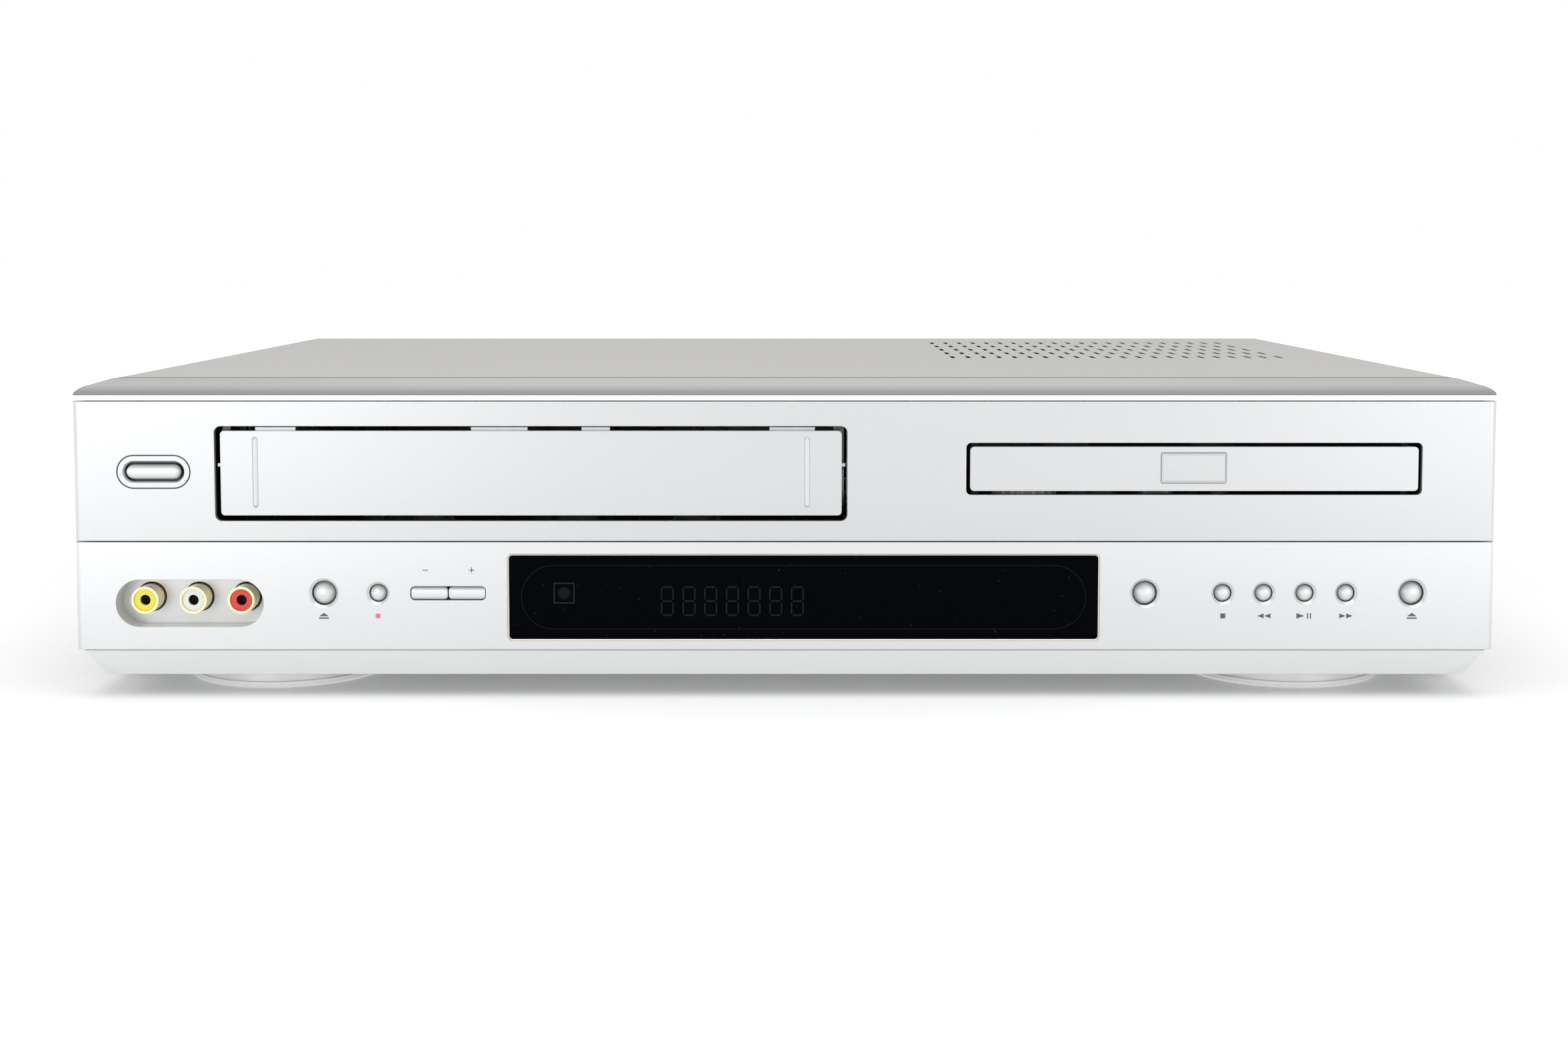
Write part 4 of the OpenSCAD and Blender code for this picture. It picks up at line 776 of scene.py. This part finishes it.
class Surface:
    """Closed surfaces gathered into one piece."""

    def __init__(self):
        self.points, self.faces, self.count = [], [], 0

    def add(self, points, faces):
        """Adds one closed surface in millimetres, turned so that its volume is positive."""
        points, faces = weld(points.reshape(-1, 3), faces)
        a, b, c = points[faces[:, 0]], points[faces[:, 1]], points[faces[:, 2]]
        if np.einsum("ij,ij->", a, np.cross(b, c)) < 0:
            faces = faces[:, ::-1]
        self.points.append(points)
        self.faces.append(faces + self.count)
        self.count += len(points)

    def carry(self, outline, profile, centre, capped=False, axes=STANDING):
        """Carries a profile of (out, depth) round an outline:
        point = centre + (outline + normal times out) across and up + depth along.
        A capped one runs in to the outline's middle at both ends; one that isn't closes as a ring."""
        ring, normal = outline
        across, up, along = np.array(axes, float)
        out, depth = np.array(profile, float).T
        flat = ring[None] + out[:, None, None] * normal[None]
        if capped:
            core = np.repeat(ring.mean(0)[None, None], len(ring), 1)
            flat = np.concatenate([core, flat, core])
            depth = np.concatenate([depth[:1], depth, depth[-1:]])
        points = np.array(centre, float) + depth[:, None, None] * along
        points = points + flat[..., :1] * across + flat[..., 1:] * up
        self.add(points, grid_faces(len(flat), len(ring), close_rows=not capped))

    def screw(self, centre, radius, height, shank, along, across, turn):
        """Round-headed screw: at a share r of the radius its height is 1 - 0.45 r to the power 2.4,
        less a cross of two bars in the middle. Its edge drops to a rim and a shank."""
        rings, sides = 26, 48
        along, across = np.array(along, float), np.array(across, float)
        up = np.cross(along, across)
        r = np.linspace(0, 1, rings)[:, None]
        a = np.linspace(0, 2 * np.pi, sides, endpoint=False)[None]
        u, v = np.abs(r * np.cos(a)), np.abs(r * np.sin(a))
        half_width, reach, depth = 0.17, 0.6, 0.75
        bar = np.clip((half_width - np.minimum(u, v)) / 0.05, 0, 1)
        bar = bar * np.clip((reach - np.maximum(u, v)) / 0.08, 0, 1)
        top = 1 - 0.45 * r**2.4 - depth * bar
        rim = np.array([[1, 0.42], [1, 0.0], [0.42, 0.0], [0.42, -shank / height], [0, -shank / height]])
        radii = radius * np.repeat(np.concatenate([r, rim[:, :1]]), sides, 1)
        rise = height * np.concatenate([top, np.repeat(rim[:, 1:], sides, 1)])
        angle = np.repeat(a + turn, len(radii), 0)
        flat = np.cos(angle)[..., None] * across + np.sin(angle)[..., None] * up
        points = np.array(centre, float) + rise[..., None] * along + radii[..., None] * flat
        self.add(points, grid_faces(*radii.shape))

    def coil(self, centre, radius, wire, turns, reach):
        """Spring along X: the wire's circle is carried along (pitch t, radius cos t, radius sin t)."""
        sides, turn_steps = 8, 24
        t = np.linspace(0, 2 * np.pi * turns, turns * turn_steps)
        pitch = reach / (2 * np.pi * turns)
        spine = np.stack([pitch * t, radius * np.cos(t), radius * np.sin(t)], -1)
        outward = np.stack([0 * t, np.cos(t), np.sin(t)], -1)
        tangent = np.stack([pitch + 0 * t, -radius * np.sin(t), radius * np.cos(t)], -1)
        side = np.cross(tangent / np.linalg.norm(tangent, axis=1)[:, None], outward)
        a = np.linspace(0, 2 * np.pi, sides, endpoint=False)[:, None]
        tube = spine[:, None] + wire / 2 * (np.cos(a) * outward[:, None] + np.sin(a) * side[:, None])
        ends = [np.repeat(spine[i][None, None], sides, 1) for i in (0, -1)]
        points = np.concatenate([ends[0], tube, ends[1]]) + np.array(centre, float)
        self.add(points, grid_faces(len(points), sides))

    def piece(self, name, body, finish, sharp=35):
        """Makes the mesh in metres, smooth but for edges sharper than an angle, and rides it on a body."""
        mesh = bpy.data.meshes.new(name)
        points, faces = np.concatenate(self.points) / MM, np.concatenate(self.faces)
        mesh.vertices.add(len(points))
        mesh.loops.add(faces.size)
        mesh.polygons.add(len(faces))
        mesh.vertices.foreach_set("co", points.astype(np.float32).ravel())
        mesh.loops.foreach_set("vertex_index", faces.astype(np.int32).ravel())
        mesh.polygons.foreach_set("loop_start", np.arange(0, faces.size, 3, dtype=np.int32))
        mesh.polygons.foreach_set("use_smooth", np.ones(len(faces), bool))
        mesh.update(calc_edges=True)
        mesh.validate()
        mesh.set_sharp_from_angle(angle=math.radians(sharp))
        mesh.materials.append(finish.material)
        made = bpy.data.objects.new(name, mesh)
        bpy.context.scene.collection.objects.link(made)
        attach(made, body)
        return made


# Steps, each an operator


class PLAYER_OT_front_finishes(Operator):
    """Paint the fascias, flap, drawer front, keys, rim, brow and window"""

    bl_idname = "player.front_finishes"
    bl_label = "Front finishes"

    def execute(self, context):
        paint = context.scene.player_paint
        dress(metallic_paint("drawer_silver", paint.silver), "tray_front")
        dress(metallic_paint("upper_silver", paint.silver, upper_gap_shade), "upper_fascia")
        # Painted light: a lighter copy of the front's silver for the lower front
        dress(metallic_paint("lower_silver", paint.lower_silver, lower_gap_shade), "lower_fascia")
        dress(metallic_paint("flap_silver", paint.silver, flap_gap_shade), "cassette_door")
        # Painted light: the skirt's silver is lightened for the light low in front, with a painted shadow
        # under the front's lip
        dress(metallic_paint("skirt_silver", paint.skirt, skirt_painted_shadow, 0.3, 0.36, 0.2), "plinth")
        dress(key_paint("key_silver", paint.key_silver), *(f"{key}_key" for key in KEYS))
        # Painted highlight: the rim is painted near white for the light its upturned edge catches
        dress(satin("rim_white", paint.rim, 0.2, coat=0.5), "fascia_rim")
        dress(brow_paint("brow_paint", paint.brow), "brow")
        dress(smoked_window("smoked_window", paint.window), "display_window")
        return {"FINISHED"}


class PLAYER_OT_case_finishes(Operator):
    """Coat the cover, the plated sheets, the feet and the sockets"""

    bl_idname = "player.case_finishes"
    bl_label = "Case finishes"

    def execute(self, context):
        paint, inside = context.scene.player_paint, context.scene.player_inside
        dress(powder_coat("cover_powder", paint.cover), "top_cover")
        zinc = plated("zinc_sheet", inside.zinc)
        dress(zinc, "bottom_chassis", "rear_panel", "case_screws", "rf_module", "ir_receiver", "drive_motors")
        dress(zinc, "deck_chassis", "loading_carriage", "cassette_holder", "traverse", "clamp_bridge")
        # Painted light: the feet's near-white silver stands for light they catch under the skirt
        dress(metallic_paint("foot_silver", paint.foot, metallic=0.05, roughness=0.38, coat=0.15), "feet")
        dress(moulding("pad_rubber", grey(0.02), 0.8, 2.2, 0.5), "foot_pads")
        jacks = jack_centres()
        dress(gilt("gilt_shells", inside.gold, jacks), "av_socket_shells")
        shades = (inside.yellow, inside.white, inside.red)
        face = corners("av_socket_inserts")[0][1]
        dress(three_shades("socket_inserts", shades, jacks, face), "av_socket_inserts")
        return {"FINISHED"}


class PLAYER_OT_inside_finishes(Operator):
    """Finish the boards, the deck, the loader and the small mechanism"""

    bl_idname = "player.inside_finishes"
    bl_label = "Inside finishes"

    def execute(self, context):
        inside = context.scene.player_inside
        black = moulding("black_plastic", inside.black, 0.52)
        dress(black, "front_frame", "key_switches", "av_socket_block", "mains_inlet", "rear_sockets")
        dress(black, "loader_frame", "disc_tray", "disc_clamp", "pickup")
        white = moulding("acetal", inside.acetal, 0.36, 2.0, 0.1, translucent=0.08)
        dress(white, "turntable", "tray_gear", "supply_reel", "takeup_reel")
        drum_x, drum_y, _ = middle("upper_drum")
        alloy = turned("turned_alloy", inside.alloy, [(drum_x, drum_y)])
        dress(alloy, "lower_drum", "upper_drum", "tape_heads")
        steel = ground_steel("ground_steel", inside.steel)
        dress(steel, "capstan", "pinch_arm", "supply_guide", "takeup_guide")
        dress(moulding("roller_rubber", grey(0.018), 0.7, 1.6, 0.3), "pinch_roller")
        dress(circuit_board("circuit_board", inside.board), "circuit_boards", "front_boards")
        dress(display_tube("display_tube", (0.03, 0.045, 0.045)), "display_tube")
        dress(power_finish("power_parts"), "power_parts")
        return {"FINISHED"}


class PLAYER_OT_symbols(Operator):
    """Print the plain transport symbols below the keys and the signs of the channel keys above them"""

    bl_idname = "player.symbols"
    bl_label = "Symbols"

    def execute(self, context):
        paint, trim = context.scene.player_paint, context.scene.player_trim
        film = [(0, 0.01), (0, -trim.ink_height * MM)]
        level = middle("play_key")[2] - trim.symbol_drop * MM
        marks = Surface()

        def mark(x, z, points):
            marks.carry(polygon_outline(points), film, (x, FRONT, z), capped=True)

        def bar(x, z, wide, tall):
            u, v = wide / 2, tall / 2
            mark(x, z, [(-u, -v), (u, -v), (u, v), (-u, v)])

        def arrow(x, z, wide, tall, way=1):
            u, v = way * wide / 2, tall / 2
            mark(x, z, [(-u, -v), (u, 0), (-u, v)])

        for key in ("eject", "open"):
            x = middle(f"{key}_key")[0]
            mark(x, level, [(-1.5, -0.12), (1.5, -0.12), (0, 0.92)])
            bar(x, level - 0.68, 3.0, 0.42)
        bar(middle("stop_key")[0], level, 1.5, 1.5)
        for key, way in (("rewind", -1), ("forward", 1)):
            for shift in (-1.05, 1.05):
                arrow(middle(f"{key}_key")[0] + shift, level, 1.95, 1.5, way)
        play_x = middle("play_key")[0]
        arrow(play_x - 1.38, level, 2.45, 1.7)
        for shift in (0.82, 1.66):
            bar(play_x + shift, level, 0.35, 1.7)
        minus_x, plus_x, sign_z = -108.8, -94.8, 39.5
        for x in (minus_x, plus_x):
            bar(x, sign_z, 1.65, 0.25)
        for shift in (0.475, -0.475):
            bar(plus_x, sign_z + shift, 0.25, 0.7)
        ink = satin("symbol_ink", paint.ink, 0.45, radius=0)
        marks.piece("front_symbols", "cabinet", ink)
        dot = Surface()
        dot.carry(circle_outline(0.8), film, (middle("record_key")[0], FRONT, level), capped=True)
        red = satin("dot_ink", paint.record_dot, 0.4, radius=0)
        dot.piece("record_dot", "cabinet", red)
        return {"FINISHED"}


class PLAYER_OT_drawer_plate(Operator):
    """Fit the bare plate with its raised edge on the drawer's front"""

    bl_idname = "player.drawer_plate"
    bl_label = "Drawer plate"

    def execute(self, context):
        paint, trim = context.scene.player_paint, context.scene.player_trim
        wide, tall = trim.plate_width * MM, trim.plate_height * MM
        border, corner = 0.7, 0.7
        x, _, z = middle("tray_front") + (-0.2, 0, 0.3)
        place = (x, corners("tray_front")[0][1], z)

        def edge(plate):
            """Painted shade along the raised edge."""
            across = (abs(plate.x - x) - wide / 2).at_least(abs(plate.z - z) - tall / 2)
            return 0.45 * plate.step(across, -0.5, -0.25)

        ridge = [(0.0, 0.02), (-0.05, -0.1), (-0.2, -0.14), (-0.36, -0.1), (-0.5, 0.02)]
        sheet = [(0.0, 0.02), (0.0, -0.04), (-0.04, -0.05), (-0.3, -0.05)]
        plate = Surface()
        plate.carry(rounded_outline(wide, tall, corner), ridge, place)
        within = rounded_outline(wide - 2 * border, tall - 2 * border, corner / 2)
        plate.carry(within, sheet, place, capped=True)
        # Painted shade along the plate's raised edge goes in as the dark mask
        bright = metallic_paint("plate_silver", tint(paint.key_silver, 0.76), edge, 0.5, 0.32, 0.2)
        plate.piece("drawer_plate", "drawer", bright)
        return {"FINISHED"}


class PLAYER_OT_window_frame(Operator):
    """Fit the thin metal frame round the display window"""

    bl_idname = "player.window_frame"
    bl_label = "Window frame"

    def execute(self, context):
        paint, trim = context.scene.player_paint, context.scene.player_trim
        low, high = corners("display_window")
        x, _, z = (low + high) / 2
        corner, outer = 1.3, 0.27
        inner = outer - trim.frame_width * MM
        bevel = [(inner, 0.5), (inner, 0.34), (inner + 0.04, 0.3), (outer - 0.02, 0.06), (outer, 0.5)]
        ring = Surface()
        ring.carry(rounded_outline(high[0] - low[0], high[2] - low[2], corner), bevel, (x, FRONT, z))
        far_centre = [(0, 500)]
        champagne = turned("champagne_frame", paint.champagne, far_centre, pitch=0.9, roughness=0.3)
        ring.piece("window_frame", "cabinet", champagne)
        return {"FINISHED"}


class PLAYER_OT_screws(Operator):
    """Put cross-recess screws in the sides, the back and the base"""

    bl_idname = "player.screws"
    bl_label = "Screws"

    def execute(self, context):
        inside, trim = context.scene.player_inside, context.scene.player_trim
        metal = plated("screw_steel", inside.zinc, 0.26, 0.5)
        self.case(metal, trim.screw_radius * MM)
        self.base(metal)
        return {"FINISHED"}

    def case(self, metal, side_radius):
        """Two screws in each side of the cover and three in the back."""
        height, shank = 1.4, 3.5
        side_z, rear_z, rear_radius = 13.5, 10.5, 3.2
        low, high = corners("case_screws")
        side_y = (REAR - 58, corners("top_cover")[0][1] + 60)
        screws = Surface()
        for way, head in ((-1, low[0]), (1, high[0])):
            for y in side_y:
                place = (head - way * height, y, side_z)
                screws.screw(place, side_radius, height, shank, (way, 0, 0), (0, 1, 0), 0.4 + y)
        for x in (-150, 30, 150):
            place = (x, REAR, rear_z)
            screws.screw(place, rear_radius, height, shank, (0, 1, 0), (1, 0, 0), 0.2 + x)
        made = screws.piece("cross_screws", "cabinet", metal, sharp=28)
        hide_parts("case_screws")

    def base(self, metal):
        """Fifteen low screws in the floor of the chassis."""
        radius, height, shank = 2.9, 1.1, 0.6
        floor_z = corners("bottom_chassis")[0][2]
        screws = Surface()
        for x in (-190, -95, 0, 95, 190):
            for y in (-60, 40, 128):
                turn = 0.1 * x + y
                screws.screw((x, y, floor_z), radius, height, shank, (0, 0, -1), (1, 0, 0), turn)
        screws.piece("base_screws", "cabinet", metal, sharp=28)


class PLAYER_OT_sockets(Operator):
    """Fit contacts, collars and coloured inserts into the rear sockets"""

    bl_idname = "player.sockets"
    bl_label = "Sockets"

    def execute(self, context):
        inside = context.scene.player_inside
        centres = [(x, ROW_Z) for x in PHONO_X]
        shell, wall = 4.15, 0.75
        insert = [(-0.02, 0.2), (-0.02, 5.9), (-0.3, 6.2), (-1.9, 6.2), (-1.9, 0.2)]
        shades = three_shades("rear_inserts", (inside.red, inside.white, inside.yellow), centres)
        self.phono("rear_inserts", "socket_colours", shell - wall, insert, shades)
        collar = [(-0.7, 0.1), (-0.7, 6.9), (0.03, 6.95), (0.05, 0.1)]
        self.phono("rear_collars", "gilt_metal", shell, collar, gilt("gilt_rear", inside.gold, centres))
        self.contacts()
        return {"FINISHED"}

    def phono(self, name, slot, radius, profile, finish):
        """The same turned ring in each phono socket."""
        rings = Surface()
        for x in PHONO_X:
            rings.carry(circle_outline(radius), profile, (x, REAR, ROW_Z))
        rings.piece(name, "cabinet", finish)

    def contacts(self):
        """Two rows of blades in each scart socket, and the pins of the aerial and S-video sockets."""
        tongues = Surface()
        blades, pitch, row = 21, 1.85, 2.35
        for scart_x in SCART_X:
            for i in range(blades):
                place = (scart_x + (i - blades // 2) * pitch, REAR, ROW_Z + (row if i % 2 else -row))
                blade = rounded_outline(1.0, 0.5, 0.12, 2)
                tongues.carry(blade, [(0, -8.9), (0, 0.4), (-0.1, 0.6)], place, capped=True)
        for z in (26, 42):
            pin = [(0, 0), (0, 5.2), (-0.4, 5.8)]
            tongues.carry(circle_outline(0.9, 16), pin, (AERIAL_X, REAR, z), capped=True)
        for u, v in ((-2.2, 1.4), (2.2, 1.4), (-3.1, -1.2), (3.1, -1.2)):
            pin = [(0, -0.4), (0, 1.4), (-0.2, 1.6)]
            tongues.carry(circle_outline(0.55, 12), pin, (SVIDEO_X + u, REAR, ROW_Z + v), capped=True)
        tinned = plated("tinned_contacts", (0.72, 0.71, 0.66), 0.24, 0.8)
        tongues.piece("socket_contacts", "cabinet", tinned)


class PLAYER_OT_flap_spring(Operator):
    """Wind the spring on the flap's hinge"""

    bl_idname = "player.flap_spring"
    bl_label = "Flap spring"

    def execute(self, context):
        inside, trim = context.scene.player_inside, context.scene.player_trim
        hinge = next(joint for joint in frame["joints"] if joint["name"] == "flap_hinge")
        _, y, z = np.array(hinge["pos_m"]) * MM
        left = corners("cassette_door")[0][0] + 4.2
        wire, pin_radius, reach = trim.spring_wire * MM, 1.25, 2.6
        spring = Surface()
        spring.coil((left, y, z), pin_radius + wire / 2, wire, trim.spring_turns, reach)
        steel = drawn_wire("spring_wire", inside.steel)
        spring.piece("flap_spring", "flap", steel)
        return {"FINISHED"}


class PLAYER_OT_tray_lip(Operator):
    """Raise the lip round the disc's place in the tray"""

    bl_idname = "player.tray_lip"
    bl_label = "Tray lip"

    def execute(self, context):
        inside = context.scene.player_inside
        radius, setback = 60.9, 72
        place = (middle("tray_front")[0], FRONT + setback, corners("disc_tray")[1][2])
        profile = [(0.0, -0.4), (0.0, 0.14), (0.9, 0.14), (1.3, -0.4)]
        lip = Surface()
        lip.carry(circle_outline(radius, 120), profile, place, axes=LYING)
        plastic = moulding("tray_plastic", inside.black, 0.4, 2.4, 0.15)
        lip.piece("tray_lip", "drawer", plastic)
        return {"FINISHED"}


class PLAYER_OT_studio(Operator):
    """Set up the pale floor, the soft lamps and the camera"""

    bl_idname = "player.studio"
    bl_label = "Studio"

    def execute(self, context):
        scene, studio = context.scene, context.scene.player_studio
        scene.view_settings.view_transform = "Standard"
        self.floor()
        self.sky(scene, studio.sky)
        self.lamp("top_lamp", (0.0, -0.4, 1.3), (0, -0.1, 0.05), (1.5, 1.1), studio.top_lamp)
        front, strip = (0, 0, 0.03), (0.7, 0.34)
        self.lamp("left_lamp", (-0.72, -1.4, 0.19), front, strip, 1.1 * studio.side_lamp)
        self.lamp("right_lamp", (0.9, -1.4, 0.19), front, strip, studio.side_lamp)
        self.camera(scene, studio)
        return {"FINISHED"}

    def floor(self):
        """Flat square floor that glows faintly and rises to white for the camera. It is clear from below."""
        floor = Finish("floor", Roughness=0.9, Specular_IOR_Level=0.1, Emission_Strength=1.0)
        watched = floor.watched()
        far = floor.step(floor.length(floor.x, floor.y), 320, 620)
        floor.feed(
            Base_Color=floor.mix(watched, grey(0.92), grey(0.93)),
            Emission_Color=floor.mix(watched, grey(0.3), floor.mix(far, grey(0.12), grey(1))),
        )
        below = floor.node("ShaderNodeNewGeometry", {}, {}).out("Backfacing")
        clear = floor.node("ShaderNodeBsdfTransparent", {}, {})
        both = floor.node("ShaderNodeMixShader", {}, {0: below, 1: floor.shader, 2: clear})
        floor.tree.links.new(both.socket, floor.tree.nodes["Material Output"].inputs["Surface"])
        half = 6
        square = [(-half, -half, 0), (half, -half, 0), (half, half, 0), (-half, half, 0)]
        mesh = bpy.data.meshes.new("floor")
        mesh.from_pydata(square, [], [(0, 1, 2, 3)])
        mesh.materials.append(floor.material)
        made = bpy.data.objects.new("floor", mesh)
        bpy.context.scene.collection.objects.link(made)

    def sky(self, scene, strength):
        """White for the camera; for light, brighter above and behind than low in front."""
        world = bpy.data.worlds.new("studio")
        world.use_nodes = True
        scene.world = world
        nodes = Nodes(world.node_tree)
        _, along, up = nodes.axes(nodes.node("ShaderNodeTexCoord", {}, {}).out("Generated"))
        ahead = nodes.step(0.0 - along, 0.25, 0.95)
        height = nodes.step(up, -0.15, 0.85)
        level = strength * (0.72 + 0.5 * height) * (1 - 0.3 * ahead)
        light = nodes.node("ShaderNodeBackground", {}, {"Color": (0.985, 0.99, 1.0), "Strength": level})
        white = nodes.node("ShaderNodeBackground", {}, {"Color": grey(1), "Strength": 1.0})
        both = nodes.node("ShaderNodeMixShader", {}, {0: nodes.watched(), 1: light, 2: white})
        nodes.node("ShaderNodeOutputWorld", {}, {"Surface": both})

    def lamp(self, name, place, aim, size, power):
        """Soft rectangular lamp that looks at a point."""
        data = bpy.data.lights.new(name, "AREA")
        data.shape, data.energy = "RECTANGLE", power
        data.size, data.size_y = size
        made = bpy.data.objects.new(name, data)
        made.location = place
        made.rotation_euler = (Vector(aim) - Vector(place)).to_track_quat("-Z", "Y").to_euler()
        bpy.context.scene.collection.objects.link(made)

    def camera(self, scene, studio):
        """Camera in front that looks slightly down."""
        data = bpy.data.cameras.new("camera")
        data.sensor_width, data.lens = 36, studio.lens
        data.shift_x, data.shift_y = studio.shift_x, studio.shift_y
        made = bpy.data.objects.new("camera", data)
        made.location = studio.camera_place
        made.rotation_euler = (math.pi / 2 - studio.camera_pitch, 0, 0)
        scene.collection.objects.link(made)
        scene.camera = made


STEPS = [
    PLAYER_OT_front_finishes,
    PLAYER_OT_case_finishes,
    PLAYER_OT_inside_finishes,
    PLAYER_OT_symbols,
    PLAYER_OT_drawer_plate,
    PLAYER_OT_window_frame,
    PLAYER_OT_screws,
    PLAYER_OT_sockets,
    PLAYER_OT_flap_spring,
    PLAYER_OT_tray_lip,
    PLAYER_OT_studio,
]
GROUPS = {
    "player_paint": PlayerPaint,
    "player_inside": PlayerInside,
    "player_trim": PlayerTrim,
    "player_studio": PlayerStudio,
}


class PLAYER_PT_panel(Panel):
    """Steps and settings of the player"""

    bl_idname = "PLAYER_PT_panel"
    bl_label = "Player"
    bl_space_type = "VIEW_3D"
    bl_region_type = "UI"
    bl_category = "Player"

    def draw(self, context):
        for step in STEPS:
            self.layout.operator(step.bl_idname)
        for group, kind in GROUPS.items():
            box = self.layout.box()
            for name in kind.__annotations__:
                box.prop(getattr(context.scene, group), name)


def register():
    for kind in (*GROUPS.values(), *STEPS, PLAYER_PT_panel):
        bpy.utils.register_class(kind)
    for group, kind in GROUPS.items():
        setattr(bpy.types.Scene, group, PointerProperty(type=kind))


def unregister():
    for group in GROUPS:
        delattr(bpy.types.Scene, group)
    for kind in (PLAYER_PT_panel, *reversed(STEPS), *reversed(GROUPS.values())):
        bpy.utils.unregister_class(kind)


def main():
    register()
    for step in STEPS:
        getattr(bpy.ops.player, step.bl_idname.split(".")[1])()


if __name__ == "__main__":
    main()
